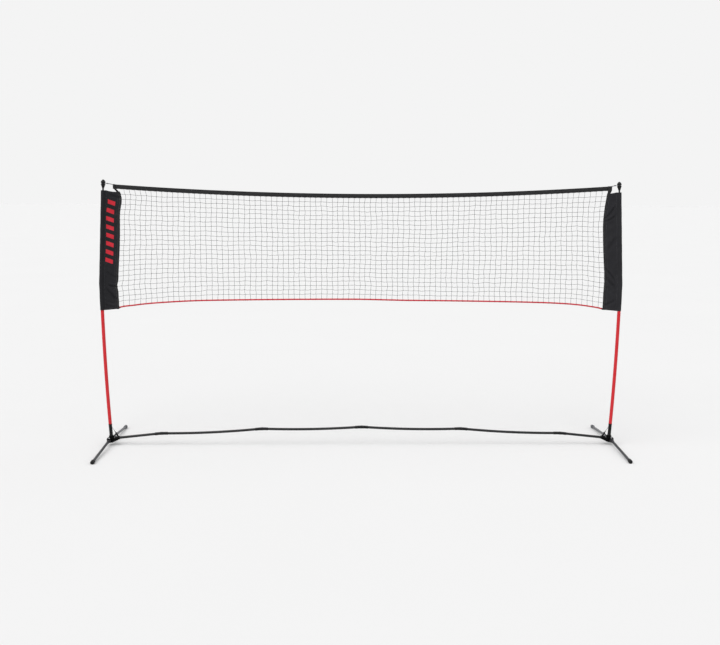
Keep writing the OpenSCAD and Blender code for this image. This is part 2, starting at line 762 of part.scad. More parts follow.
module side_panel(side) color(charcoal) on_side(side) panel_body();
module edge_tape(side) color(black) on_side(side) tape_body();

// ---- band, cords and net ----

module top_band() color(charcoal) {
  xs = band_x * even;
  tops = [for (x = xs) band_z(x)];
  wide = concat([-band_x - cut], xs, [band_x + cut]);
  channel_top = [for (x = wide) band_z(min(abs(x), band_x)) - band_skin];
  difference() {
    upright(-band_t / 2, band_t / 2) strip(xs, tops - [for (x = xs) band_h], tops);
    upright(-channel / 2, channel / 2)
      strip(wide, channel_top - [for (x = wide) channel], channel_top);
  }
}

loop_r = groove_d / 2 + free_gap + top_cord_d / 2;
// The cord's loop in the right knob's groove, from its tied end back round to the band
knob_loop = [for (a = [-150:15:180]) [
  groove[0] + loop_r * cos(a) * cos(rod_lean), loop_r * sin(a),
  groove[1] + loop_r * cos(a) * sin(rod_lean)]];
module top_cord() color("#38383c") {
  in_band = standing([for (u = even)
    [band_x * u, band_z(band_x * u) - band_skin - channel / 2]]);
  loop_back = [for (i = [len(knob_loop) - 1:-1:0]) knob_loop[i]];
  path = concat([for (p = knob_loop) [-p[0], p[1], p[2]]], in_band, loop_back);
  cord(path, all_of(path, top_cord_d), [0, 0, 1]);
}

module bottom_cord() color(red) {
  path = standing([for (u = crowded) [cord_x * u, cord_z(cord_x * u)]]);
  cord(path, all_of(path, bottom_cord_d));
}

// Upright threads behind, level rows in front, each a flat-faced solid of its own
module net_mesh() color(thread_grey) {
  skip = 0.05;
  for (i = [0:thread_count - 1]) {
    x = (i - (thread_count - 1) / 2) * cell_w;
    low = leaned(x, net_bottom(x));
    high = leaned(x, net_top(x));
    upright(skip, skip + thread) polygon([for (end = [
      [low, net_bottom(low), -1], [leaned(x, kink[1]), kink[1], -1], [high, net_top(high), -1],
      [high, net_top(high), 1], [leaned(x, kink[1]), kink[1], 1], [low, net_bottom(low), 1]])
      [end[0] + end[2] * thread / 2, end[1]]]);
  }
  for (j = [1:net_rows - 1]) {
    xs = row_end(j, edge_x(panel_top)) * crowded;
    mids = [for (x = xs) row_z(j, x)];
    half = [for (x = xs) thread / 2];
    upright(-skip - thread, -skip) strip(xs, mids - half, mids + half);
  }
}

hub("left");  // hub_left
hub("right");  // hub_right
leg_pins("left");  // leg_pins_left
leg_pins("right");  // leg_pins_right
leg_knuckle("left", "front");  // leg_knuckle_front_left
leg_knuckle("left", "rear");  // leg_knuckle_rear_left
leg_knuckle("right", "front");  // leg_knuckle_front_right
leg_knuckle("right", "rear");  // leg_knuckle_rear_right
leg_tube("left", "front");  // leg_tube_front_left
leg_tube("left", "rear");  // leg_tube_rear_left
leg_tube("right", "front");  // leg_tube_front_right
leg_tube("right", "rear");  // leg_tube_rear_right
foot_cap("left", "front");  // foot_cap_front_left
foot_cap("left", "rear");  // foot_cap_rear_left
foot_cap("right", "front");  // foot_cap_front_right
foot_cap("right", "rear");  // foot_cap_rear_right
bar_tube_end("left");  // bar_tube_end_left
bar_tube_outer("left");  // bar_tube_outer_left
bar_tube_inner("left");  // bar_tube_inner_left
bar_tube_inner("right");  // bar_tube_inner_right
bar_tube_outer("right");  // bar_tube_outer_right
bar_tube_end("right");  // bar_tube_end_right
bar_connector_outer("left");  // bar_connector_outer_left
bar_connector_inner("left");  // bar_connector_inner_left
bar_connector_middle();
bar_connector_inner("right");  // bar_connector_inner_right
bar_connector_outer("right");  // bar_connector_outer_right
bar_shock_cord();
pole_ferrule("left");  // pole_ferrule_left
pole_ferrule("right");  // pole_ferrule_right
pole_tube("left");  // pole_tube_left
pole_tube("right");  // pole_tube_right
pole_reducer("left");  // pole_reducer_left
pole_reducer("right");  // pole_reducer_right
pole_rod("left");  // pole_rod_left
pole_rod("right");  // pole_rod_right
knob("left");  // knob_left
knob("right");  // knob_right
pole_elastic("left");  // pole_elastic_left
pole_elastic("right");  // pole_elastic_right
tether("left");  // tether_left
tether("right");  // tether_right
side_panel("left");  // side_panel_left
side_panel("right");  // side_panel_right
edge_tape("left");  // edge_tape_left
edge_tape("right");  // edge_tape_right
top_band();
top_cord();
bottom_cord();
net_mesh();
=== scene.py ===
"""Visual model of a free-standing portable net, 3 m wide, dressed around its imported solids.
Metres. X runs along the net, Y from front to back, Z up; the ground is Z = 0."""

from math import (acos, atan, atan2, ceil, copysign, cos, dist, hypot, pi, radians, sin, sqrt,
                  tan)

import bmesh
import bpy
import numpy as np
from mathutils import Matrix, Vector


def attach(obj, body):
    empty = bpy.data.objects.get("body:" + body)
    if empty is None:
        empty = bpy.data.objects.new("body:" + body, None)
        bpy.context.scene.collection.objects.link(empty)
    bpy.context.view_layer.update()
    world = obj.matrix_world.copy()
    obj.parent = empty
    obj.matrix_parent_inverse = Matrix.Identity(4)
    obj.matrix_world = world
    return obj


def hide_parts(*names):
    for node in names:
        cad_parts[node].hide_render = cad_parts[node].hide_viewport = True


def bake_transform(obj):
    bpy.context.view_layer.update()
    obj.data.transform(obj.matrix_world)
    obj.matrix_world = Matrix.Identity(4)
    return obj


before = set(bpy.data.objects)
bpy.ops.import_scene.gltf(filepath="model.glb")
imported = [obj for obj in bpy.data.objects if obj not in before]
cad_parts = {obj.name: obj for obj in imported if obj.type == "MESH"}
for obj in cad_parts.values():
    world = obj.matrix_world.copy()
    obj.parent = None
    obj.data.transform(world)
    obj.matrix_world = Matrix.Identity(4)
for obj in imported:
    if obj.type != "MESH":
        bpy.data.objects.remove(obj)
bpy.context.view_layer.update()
MM, TAU = 0.001, 2 * pi


def fine(full):
    """How finely to divide a form: always at the full fineness given."""
    return full


# ------ the object's lines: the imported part's own measures, in metres and radians


def unit(v):
    """The vector, or each of the rows, at length 1."""
    return v / np.linalg.norm(v, axis=-1, keepdims=True)


def straight(origin, direction):
    """A rail: point and direction at a distance along a straight line."""
    direction = unit(direction)
    return lambda s: (origin + s * direction, direction)


def bezier(points, t):
    """The curve between the first and the last point that the others pull on, at t."""
    while len(points) > 1:
        points = [(1 - t) * a + t * b for a, b in zip(points, points[1:])]
    return points[0]


FOOT_X, FOOT_LEAN, BOW_R, LOWER_LEN = 1.5, radians(3.4), 16.0, 0.917
ROD_LEAN, ROD_LEN, MOUTH_Z = radians(3.1), 0.579, 0.058
POLE_R, ROD_R, FERRULE_H, TUBE_TOP = 0.010, 0.005, 0.072, 0.911
TUBE_R, LEG_START, WELD = 0.0075, 0.0145, 0.002 * MM
BOW_C = (FOOT_X - BOW_R * cos(FOOT_LEAN), MOUTH_Z + BOW_R * sin(FOOT_LEAN))


def lower_rail(s):
    """The bowed lower pole, s above the hub's mouth."""
    a = FOOT_LEAN - s / BOW_R
    return (np.array([BOW_C[0] + BOW_R * cos(a), 0, BOW_C[1] - BOW_R * sin(a)]),
            np.array([sin(a), 0, cos(a)]))


KINK = lower_rail(LOWER_LEN)[0]
ROD_DIR = np.array([-sin(ROD_LEAN), 0, cos(ROD_LEAN)])
GROOVE = KINK + ROD_LEN * ROD_DIR
rod_rail = straight(KINK, ROD_DIR)


def pole_x(z):
    """X of the pole's axis at the height z."""
    if z < KINK[2]:
        return BOW_C[0] + sqrt(BOW_R ** 2 - (BOW_C[1] - z) ** 2)
    return KINK[0] - tan(ROD_LEAN) * (z - KINK[2])


PANEL_W, PANEL_TOP = 0.098, GROOVE[2] - 0.038
PANEL_BOTTOM = PANEL_TOP - 0.700
CORNER_EASE = 0.009
BAND_X, BAND_END_Z = GROOVE[0] - 0.057, GROOVE[2] - 0.005
BAND_SAG, BAND_H = 0.049, 0.025
CORD_R, TOP_CORD_R, CORD_RISE = 0.0045, 0.0012, 0.051
CELL_W, NET_ROWS, NET_COLUMNS = 0.032, 23, 88
CORD_END_Z = PANEL_BOTTOM + CORNER_EASE + CORD_R + 0.004
CORD_X = pole_x(CORD_END_Z) - PANEL_W - 0.0023 - CORD_RISE * 8 / FOOT_X * CORD_R


def band_z(x):
    """Height of the band's top edge."""
    return BAND_END_Z - BAND_SAG + BAND_SAG * (x / BAND_X) ** 2


def ramp(value, low, high):
    """0 below low and 1 above high, with an eased rise between them."""
    t = np.clip((value - low) / (high - low), 0, 1)
    return t * t * (3 - 2 * t)


def cord_z(x):
    """Height of the bottom cord's middle: steep at the panels, then almost level. It hangs
    a little lower over its right half and beside the left panel, and less so at its ends."""
    u = min(abs(x) / CORD_X, 1.0)
    slack = 5.5 * (ramp(x, -0.06, 0.30) + ramp(-x, 0.90, 1.28))
    taken_up = (5.5 if x < 0 else 2.0) * ramp(abs(x), 1.33, 1.42)
    return (CORD_END_Z + CORD_RISE * (1 - 0.4 * u ** 2 - 0.6 * u ** 12)
            - MM * (slack - taken_up))


def hang(a, b, sag):
    """Centre, radius and end angles of the arc that hangs by sag below the chord a to b."""
    a, b = np.array(a), np.array(b)
    chord = np.linalg.norm(a - b)
    r = (chord ** 2 / 4 + sag ** 2) / (2 * sag)
    c = (a + b) / 2 + (r - sag) / chord * np.array([b[1] - a[1], a[0] - b[0]])
    return c, r, atan2(*(a - c)[::-1]), atan2(*(b - c)[::-1])


END_RISE = radians(6)
BAR_IN = (FOOT_X - 0.028, 0.043)
OUTER_JOINT = (1.2, BAR_IN[1] + (BAR_IN[0] - 1.2) * tan(END_RISE))
INNER_JOINT, MID_JOINT = (0.6, 0.0995), (0.0, 0.1105)
OUTER_HANG = hang(OUTER_JOINT, INNER_JOINT, 0.008)
INNER_HANG = hang(INNER_JOINT, MID_JOINT, 0.008)

PIN_Y = 0.022
LEG_PIN = np.array([FOOT_X + 0.008, -PIN_Y, 0.033])
EAR_TOP, LEG_REACH, CAP_R, CAP_L = 0.046, 0.390, 0.011, 0.028
LEG_DROP = atan((LEG_PIN[2] - (CAP_R - 0.0006)) / (LEG_REACH - PIN_Y))
LEG_LEN = (LEG_REACH - PIN_Y) / cos(LEG_DROP)
leg_rail = straight(LEG_PIN, (0, -cos(LEG_DROP), -sin(LEG_DROP)))

EYE_HOLE = np.array([FOOT_X - 0.030, 0, 0.072])
TETHER_EXIT = lower_rail(0.050)[0] - np.array([POLE_R, 0, 0])

# ------ making meshes

AXIS_UV_R = 0.004  # least radius that a turned form's UVs are drawn for
PLAIT_MEAN = 0.6  # height of a braid's crossings that counts as the cord's radius
KEPT_FACES = 0.45  # share of a mould's remeshed faces that is enough to show it


def placed(name, mesh):
    """An object for the mesh, in the scene."""
    obj = bpy.data.objects.new(name, mesh)
    bpy.context.scene.collection.objects.link(obj)
    return obj


class Shell:
    """Points, faces and UVs of one piece, gathered before they become a mesh."""

    def __init__(self):
        self.points, self.faces, self.uvs = [], [], []

    def add(self, points, faces, uvs):
        """Adds points (n, 3), faces of indices and one UV, in metres, for each point."""
        start = len(self.points)
        self.points += [tuple(map(float, p)) for p in points]
        self.faces += [tuple(start + i for i in f) for f in faces]
        self.uvs += [tuple(uv) for uv in uvs]
        return start

    def tube(self, rings, uvs, closed=False):
        """Quads from ring to ring of points; closed joins the last ring to the first."""
        m, n = len(rings), len(rings[0])
        quads = [(i * n + j, i * n + (j + 1) % n,
                  (i + 1) % m * n + (j + 1) % n, (i + 1) % m * n + j)
                 for i in range(m if closed else m - 1) for j in range(n)]
        return self.add([p for ring in rings for p in ring], quads,
                        [uv for ring in uvs for uv in ring])

    def object(self, name, side=1, end=1, sharp=35):
        """The mesh object, mirrored to the other side (-1) or end (-1) where asked."""
        mesh = bpy.data.meshes.new(name)
        mesh.from_pydata((np.array(self.points) * [side, end, 1]).tolist(), [], self.faces)
        layer = mesh.uv_layers.new(name="UVMap")
        loop_verts = np.zeros(len(mesh.loops), np.int32)
        mesh.loops.foreach_get("vertex_index", loop_verts)
        layer.data.foreach_set("uv", np.array(self.uvs, np.float32)[loop_verts].ravel())
        bm = bmesh.new()
        bm.from_mesh(mesh)
        bmesh.ops.remove_doubles(bm, verts=bm.verts, dist=WELD)
        bmesh.ops.recalc_face_normals(bm, faces=bm.faces)
        bm.to_mesh(mesh)
        bm.free()
        mesh.polygons.foreach_set("use_smooth", [True] * len(mesh.polygons))
        mesh.set_sharp_from_angle(angle=radians(sharp))
        return placed(name, mesh)

    def fit(self, name, material, body, slot, node, side=1, end=1, sharp=35):
        """The finished piece in its place."""
        return fitted(self.object(name, side, end, sharp), material, body, slot, node)


def circling(a, d, across):
    """The direction square to d that is nearest to across, and those at the angles a from
    it round d."""
    u = unit(across - d * d.dot(across))
    return u, np.outer(np.cos(a), u) + np.outer(np.sin(a), np.cross(d, u))


def turned(shell, rail, profile, sides=48, loop=False, across=(0, 1, 0)):
    """Sweeps circles along a rail. The profile's points are (distance, radius); it starts and
    ends on the axis, or loop closes it into a ring with a hollow."""
    angles = np.linspace(0, TAU, sides, endpoint=False)
    rings, uvs = [], []
    for s, r in profile:
        p, d = rail(s)
        rings.append(p + max(r, 0) * circling(angles, d, across)[1])
        uvs.append([(a * max(r, AXIS_UV_R), s) for a in angles])
    if loop:
        shell.tube(rings, uvs, closed=True)
        return shell
    start = shell.tube(rings[1:-1], uvs[1:-1])
    last = start + (len(rings) - 3) * sides
    ends = profile[0][0], profile[-1][0]
    tip = shell.add([rail(s)[0] for s in ends], [], [(0, s) for s in ends])
    for j in range(sides):
        k = (j + 1) % sides
        shell.faces += [(tip, start + k, start + j), (tip + 1, last + j, last + k)]
    return shell


def eased(profile, radius=0.0006, steps=3):
    """Rounds the profile's inner corners with arcs of about the radius."""
    out = [profile[0]]
    for corner in zip(profile, profile[1:], profile[2:]):
        a, b, c = np.array(corner, float)
        la, lc = np.linalg.norm(a - b), np.linalg.norm(c - b)
        if min(la, lc) < 1e-6:
            out.append(tuple(b))
            continue
        cut = min(radius, la / 2.2, lc / 2.2)
        p, q = b + (a - b) / la * cut, b + (c - b) / lc * cut
        out += [tuple(bezier([p, b, q], i / steps)) for i in range(steps + 1)]
    return out + [profile[-1]]


def spread(profile, step):
    """Splits the profile's long runs, so that it can follow a bowed rail."""
    out = [profile[0]]
    for a, b in zip(profile, profile[1:]):
        parts = max(1, ceil(abs(b[0] - a[0]) / step))
        out += np.linspace(a, b, parts + 1)[1:].tolist()
    return out


def run_of(path):
    """Distance along a path at each of its points."""
    return np.append(0, np.cumsum(np.linalg.norm(np.diff(path, axis=0), axis=1)))


def cord_shell(shell, path, radius, sides=12, across=(0, 1, 0), plait=0, lay=0.009, lobes=4):
    """A round cord along a path, its rings carried along without twist. plait is how far its
    braided strands stand out, lay the length of one diamond of the braid and lobes the number
    of diamonds around it."""
    angles = np.linspace(0, TAU, sides, endpoint=False)
    rings, uvs = [], []
    for p, d, s in zip(path, unit(np.gradient(path, axis=0)), run_of(path)):
        across, around = circling(angles, d, across)
        crossing = abs(np.cos(lobes / 2 * angles + pi * s / lay)
                       * np.cos(lobes / 2 * angles - pi * s / lay))
        rings.append(p + (radius + plait * (crossing - PLAIT_MEAN))[:, None] * around)
        uvs.append([(a * radius, s) for a in angles])
    start = shell.tube(rings, uvs)
    end = start + (len(rings) - 1) * sides
    shell.faces += [tuple(range(start, start + sides))[::-1], tuple(range(end, end + sides))]


def resampled(path, step):
    """The path's points again at equal steps, on a smooth curve through them."""
    path = np.array(path, float)
    run = run_of(path)
    s = np.linspace(0, run[-1], max(2, int(round(run[-1] / step)) + 1))
    slope = np.gradient(path, run, axis=0)
    i = np.clip(np.searchsorted(run, s, side="right") - 1, 0, len(run) - 2)
    h = (run[i + 1] - run[i])[:, None]
    return bezier([path[i], path[i] + h / 3 * slope[i],
                   path[i + 1] - h / 3 * slope[i + 1], path[i + 1]],
                  (s - run[i])[:, None] / h)


# ------ materials


def tone(code):
    """A colour from its sRGB hex code, as linear RGBA."""
    rgb = [int(code[i:i + 2], 16) / 255 for i in (1, 3, 5)]
    return (*[c / 12.92 if c <= 0.04045 else ((c + 0.055) / 1.055) ** 2.4 for c in rgb], 1)


def fed(tree, socket, value):
    """Gives a socket its value, a hex code's colour or the socket that feeds it."""
    if isinstance(value, bpy.types.NodeSocket):
        tree.links.new(value, socket)
    else:
        socket.default_value = tone(value) if str(value)[:1] == "#" else value


# Nodes that are used often: Blender's name, the settings, the sockets in the order in which
# their values are given, with what they hold when left out, and the output that is read
OFTEN = {
    # Share of the second colour, and the two colours
    "MIX": ("ShaderNodeMix", {"data_type": "RGBA"},
            {"i0": 0.5, "i6": "#000000", "i7": "#ffffff"}, 2),
    # A value, its range from and to, and the range that it is mapped to and kept in
    "RANGE": ("ShaderNodeMapRange", {"clamp": True},
              {"Value": 0.0, "From_Min": 0.0, "From_Max": 1.0, "To_Min": 0.0, "To_Max": 1.0},
              "Result"),
    # A place, blotches to the metre, detail and roughness
    "NOISE": ("ShaderNodeTexNoise", {},
              {"Vector": (0, 0, 0), "Scale": 1.0, "Detail": 2.0, "Roughness": 0.5}, "Fac"),
}


class Nodes:
    """A node tree to which nodes are added; what they are given is a value or a socket."""

    def __init__(self, tree):
        self.tree = tree

    def put(self, kind, settings=None, **inputs):
        """Adds a node with its settings and inputs; i0, i1, i2 are inputs by number."""
        node = self.tree.nodes.new(kind)
        for key, value in (settings or {}).items():
            setattr(node, key, value)
        for key, value in inputs.items():
            name = key.replace("_", " ")
            fed(self.tree, node.inputs[int(name[1:])] if name[1:].isdigit() else
                next(s for s in node.inputs if s.name == name and s.enabled), value)
        return node

    def of(self, kind, *values):
        """What comes out of a node that is in OFTEN, or of a step of arithmetic, when it is
        given the values in turn."""
        name, settings, sockets, output = OFTEN.get(kind) or (
            "ShaderNodeMath", {"operation": kind}, {"i0": 0.0, "i1": 0.0, "i2": 0.0}, 0)
        given = {**sockets, **dict(zip(sockets, values))}
        return self.put(name, settings, **given).outputs[output]

    def product(self, first, *others):
        """The values multiplied, from the first on."""
        for other in others:
            first = self.of("MULTIPLY", first, other)
        return first

    def wave(self, value):
        """The height of a row of threads that lie one unit apart."""
        return self.of("ABSOLUTE", self.of("SINE", value))

    def place(self, uv=False, scale=(1, 1, 1)):
        """The piece's own coordinates: Object in metres, or its UV map in metres."""
        coords = self.put("ShaderNodeTexCoord").outputs["UV" if uv else "Object"]
        return self.put("ShaderNodeMapping", Vector=coords, Scale=scale).outputs[0]

    def drawn_out(self, across, along):
        """UV coordinates in units of their own across the piece and along it, in metres."""
        return self.place(uv=True, scale=(1 / across, 1 / along, 1))

    def flat(self, scale=(1, 1, 1)):
        """The two UV coordinates, apart."""
        return self.put("ShaderNodeSeparateXYZ",
                        Vector=self.place(uv=True, scale=scale)).outputs[:2]


class Finish(Nodes):
    """A material with its Principled shader, ready for its pattern's nodes."""

    def __init__(self, name, colour, rough, **constants):
        self.material = bpy.data.materials.new(name)
        self.material.use_nodes = True
        self.material.diffuse_color = tone(colour)
        super().__init__(self.material.node_tree)
        self.inputs = self.tree.nodes["Principled BSDF"].inputs
        self.give(Base_Color=colour, Roughness=rough, **constants)

    def give(self, **inputs):
        """Feeds the shader's inputs."""
        for key, value in inputs.items():
            fed(self.tree, self.inputs[key.replace("_", " ")], value)

    def done(self, height, distance, strength, **inputs):
        """The material, its inputs fed and its surface raised by the pattern, distance
        metres from its low to its high."""
        bump = self.put("ShaderNodeBump", Height=height, Distance=distance,
                        Strength=strength)
        self.give(Normal=bump.outputs[0], **inputs)
        return self.material


def moulded_plastic(name, colour, light, rough=0.42, shine=0.2):
    """Glass-filled polyamide, injection moulded: the tool's spark-eroded grain breaks up its
    gloss, and handling polishes patches of it."""
    f = Finish(name, colour, rough, IOR=1.5, Specular_IOR_Level=shine)
    here = f.place()
    patches = f.of("NOISE", here, 1 / (22 * MM), 3)
    return f.done(f.of("NOISE", here, 1 / (0.55 * MM), 1), 0.045 * MM, 0.8,
                  Base_Color=f.of("MIX", f.of("RANGE", patches, 0.35, 0.75, 0, 0.55),
                                  colour, light),
                  Roughness=f.of("RANGE", patches, 0.3, 0.7, rough - 0.09, rough + 0.12))


def enamelled_steel(name, colour, light, dark, rough=0.40, coat=0.0, metal=0.15):
    """Steel tube with baked enamel: a smooth skin with faint orange peel, drawn streaks along
    its length and dulled patches where it is handled."""
    f = Finish(name, colour, rough, IOR=1.5, Coat_Weight=coat, Coat_Roughness=0.12,
               Metallic=metal, Specular_IOR_Level=0.35)
    streaks = f.of("NOISE", f.drawn_out(1.6 * MM, 90 * MM), 1, 3, 0.6)
    here = f.place()
    patches = f.of("NOISE", here, 1 / (60 * MM), 4, 0.6)
    skin_tone = f.of("MIX", f.of("RANGE", patches, 0.35, 0.7), colour, light)
    return f.done(f.of("NOISE", here, 1 / (1.8 * MM), 1), 0.03 * MM, 0.5,
                  Base_Color=f.of("MIX", f.of("RANGE", streaks, 0.45, 0.8, 0, 0.5),
                                  skin_tone, dark),
                  Roughness=f.of("RANGE", patches, 0.3, 0.75, rough - 0.05, rough + 0.14))


def moulded_rubber(name, colour, bloom_and_lit_tone):
    """Vulcanised rubber: matt, with a powdery bloom in patches and a slightly pebbled skin; a
    lit copy carries painted light in both its tones.
    """
    f = Finish(name, colour, 0.6, IOR=1.52, Specular_IOR_Level=0.25)
    here = f.place()
    bloom = f.of("NOISE", here, 1 / (9 * MM), 4, 0.65)
    return f.done(f.of("NOISE", here, 1 / (0.9 * MM), 2), 0.08 * MM, 0.7,
                  Base_Color=f.of("MIX", f.of("RANGE", bloom, 0.4, 0.75, 0, 0.6),
                                  colour, bloom_and_lit_tone),
                  Roughness=f.of("RANGE", bloom, 0.3, 0.8, 0.5, 0.75))


def zinc_plate(name):
    """Zinc-plated rivet steel: bright, faintly clouded by its passivation."""
    f = Finish(name, "#c3c4c6", 0.3, Metallic=1.0)
    here = f.place()
    cloud = f.of("NOISE", here, 1 / (3 * MM), 3)
    return f.done(f.of("NOISE", here, 1 / (0.7 * MM), 1), 0.02 * MM, 0.5,
                  Base_Color=f.of("MIX", cloud, "#b3b5b8", "#dcdcda"),
                  Roughness=f.of("RANGE", cloud, 0.3, 0.7, 0.24, 0.42))


def pultruded_fibreglass(name):
    """Pultruded fibreglass rod: glossy resin over fine fibres that run along it."""
    f = Finish(name, "#0b0b0c", 0.30, IOR=1.52, Specular_IOR_Level=0.25, Coat_Weight=0.1,
               Coat_Roughness=0.1)
    fibres = f.of("NOISE", f.drawn_out(0.5 * MM, 60 * MM), 1, 2)
    return f.done(fibres, 0.03 * MM, 0.5,
                  Base_Color=f.of("MIX", f.of("RANGE", fibres, 0.4, 0.7),
                                  "#08080a", "#18181b"))


def weave(f, pitch):
    """Height of a plain weave: threads that pass over and under each other every pitch."""
    u, v = f.flat((1 / pitch,) * 3)
    warp, weft = (f.wave(f.product(w, pi)) for w in (u, v))
    over = f.of("PINGPONG", f.of("ADD", f.of("FLOOR", u), f.of("FLOOR", v)), 1.0)
    return f.of("ADD", f.product(warp, over),
                  f.product(weft, f.of("SUBTRACT", 1.0, over)))


PRINT_U, PRINT_V = (0.034, 0.078), (0.268, 0.652)
PRINT_BARS, PRINT_SLANT, PRINT_FILL, PRINT_EDGE = 8, 0.35, 0.5, 0.3 * MM


def printed_bars(f):
    """Where the ink of the slanted bars is: 1 on a bar and 0 off it."""
    u, v = f.flat()
    leaned = f.of("SUBTRACT", v, f.product(f.of("SUBTRACT", u, sum(PRINT_U) / 2),
                                             PRINT_SLANT))
    pitch = (PRINT_V[1] - PRINT_V[0]) / PRINT_BARS
    part = f.of("FRACT", f.of("DIVIDE", f.of("SUBTRACT", leaned, PRINT_V[0]), pitch))
    bar = None
    for value, low, high, edge in (
            (part, 0.5 - PRINT_FILL / 2, 0.5 + PRINT_FILL / 2, PRINT_EDGE / pitch),
            (u, *PRINT_U, PRINT_EDGE), (leaned, *PRINT_V, PRINT_EDGE)):
        within = f.product(f.of("RANGE", value, low - edge, low + edge),
                           f.of("RANGE", value, high - edge, high + edge, 1, 0))
        bar = f.product(bar, within) if bar else within
    return bar


def woven_polyester(name, dark, light, printed=False):
    """Coated polyester cloth: a flat plain weave with a soft sheen and painted shade between
    its threads, paler where it has been creased. The threads are really 0.5 mm apart, and are
    drawn wider so that they show."""
    f = Finish(name, "#2d2d30", 0.72, IOR=1.45, Sheen_Weight=0.05, Sheen_Roughness=0.4,
               Specular_IOR_Level=0.16)
    threads = weave(f, 1.1 * MM)
    here = f.place()
    blotches = f.of("NOISE", here, 1 / (45 * MM), 4, 0.6)
    slub = f.of("NOISE", f.drawn_out(30 * MM, 1.6 * MM), 1)
    cloth = f.of("MIX", f.of("RANGE", blotches, 0.3, 0.75), dark, light)
    # Painted shade: the cloth darkens towards #101012 where the weave dips between its
    # threads.
    cloth = f.of("MIX", f.of("RANGE", threads, 0.2, 1.0, 0.35, 0), cloth, "#101012")
    cloth = f.of("MIX", f.of("RANGE", slub, 0.55, 0.8, 0, 0.35), cloth, "#3a3a3e")
    if printed:
        # Screen-printed; the ink sits on top of the threads and wears off them
        worn = f.of("RANGE", f.of("NOISE", here, 1 / (2.2 * MM), 3, 0.7), 0.3, 0.42, 0.6, 0.97)
        ink = f.of("MIX", f.of("RANGE", blotches, 0.3, 0.7), "#b8222e", "#cd3340")
        cloth = f.of("MIX", f.product(printed_bars(f), worn), cloth, ink)
    return f.done(threads, 0.12 * MM, 0.6, Base_Color=cloth,
                  Roughness=f.of("RANGE", blotches, 0.3, 0.7, 0.66, 0.82))


def woven_webbing(name, colour, light, rib=1.7):
    """Polypropylene binding tape: close ribs across its width, painted shade between them, and
    a slight shine.
    """
    f = Finish(name, colour, 0.6, IOR=1.49, Sheen_Weight=0.06, Specular_IOR_Level=0.28)
    u, v = f.flat()
    ribs = f.wave(f.product(v, pi / (rib * MM)))
    across = f.wave(f.product(u, pi / (0.9 * MM)))
    worn = f.of("NOISE", f.place(), 1 / (18 * MM), 4, 0.65)
    base = f.of("MIX", f.of("RANGE", worn, 0.35, 0.75), colour, light)
    # The colour below darkens the tape towards #0c0c0d in the valleys between its ribs:
    # painted shade.
    return f.done(f.of("ADD", ribs, f.product(across, 0.35)), 0.22 * MM, 0.7,
                  Base_Color=f.of("MIX", f.of("RANGE", ribs, 0.0, 0.5, 0.55, 0),
                                  base, "#0c0c0d"))


def braided_cord(name, colour, light, dark, strand=1.0, around=2.4, fleck=None):
    """Braided cord: two sets of strands that cross in diamonds, with painted shade in the
    valleys between them, and the dull shine of polyester filament; a fleck is a tracer in it."""
    f = Finish(name, colour, 0.55, IOR=1.5, Sheen_Weight=0.08, Specular_IOR_Level=0.3)
    u, v = f.flat()
    height = f.product(*[f.wave(f.of("ADD", f.product(u, sign * pi / (strand * MM)),
                                       f.product(v, pi / (around * MM))))
                         for sign in (1, -1)])
    worn = f.of("NOISE", f.place(), 1 / (14 * MM), 3)
    base = f.of("MIX", f.of("RANGE", worn, 0.3, 0.7), colour, light)
    # Painted shade: the cord darkens towards the dark tone where the braid's height is low.
    base = f.of("MIX", f.of("RANGE", height, 0.0, 0.4, 0.7, 0), base, dark)
    if fleck:
        slanted = f.of("DIVIDE", f.of("ADD", v, f.product(u, 1.4)), 11 * MM)
        tracer = f.of("RANGE", f.of("FRACT", slanted), 0.82, 0.86)
        base = f.of("MIX", f.product(tracer, 0.8), base, fleck)
    return f.done(height, 0.25 * MM, 0.6, Base_Color=base)


def netting_twine(name):
    """Knotted polyethylene twine: dark grey, slightly waxy, with its shade drifting from
    mesh to mesh."""
    f = Finish(name, "#1c1c1f", 0.55, IOR=1.51, Specular_IOR_Level=0.25)
    here = f.place()
    drift = f.of("RANGE", f.of("NOISE", here, 1 / (40 * MM), 3, 0.6), 0.3, 0.7)
    return f.done(f.of("NOISE", here, 1 / (0.6 * MM), 2), 0.08 * MM, 0.6,
                  Base_Color=f.of("MIX", drift, "#151517", "#252529"))


def spun_thread(name, colour, light):
    """Bonded sewing thread or waxed whipping: a fine twist whose shade drifts a little."""
    f = Finish(name, colour, 0.6, Sheen_Weight=0.2)
    here = f.place()
    drift = f.of("RANGE", f.of("NOISE", here, 1 / (6 * MM), 2), 0.3, 0.7)
    return f.done(f.of("NOISE", here, 1 / (0.25 * MM), 1), 0.05 * MM, 0.6,
                  Base_Color=f.of("MIX", drift, colour, light))


HUB_BLACK = moulded_plastic("hub_polyamide", "#040405", "#0b0b0c", 0.38, shine=0.07)
# One grey polyamide for every knuckle, in two copies: the front one darkened as painted shade,
# the rear one lightened as painted light.
FRONT_SHADED_KNUCKLE = moulded_plastic("knuckle_polyamide", "#2a2a2c", "#3b3b3e")
REAR_LIT_KNUCKLE = moulded_plastic("pale_knuckle_polyamide", "#6f7073", "#85868a")
SLEEVE_BLACK = moulded_plastic("sleeve_polyamide", "#070708", "#121214", 0.34)
KNOB_BLACK = moulded_plastic("knob_polyamide", "#080809", "#141416", 0.40)
RED_ENAMEL = enamelled_steel("red_enamelled_steel", "#c5101d", "#cf1b27", "#a80f19", 0.30,
                             0.15, 0.0)
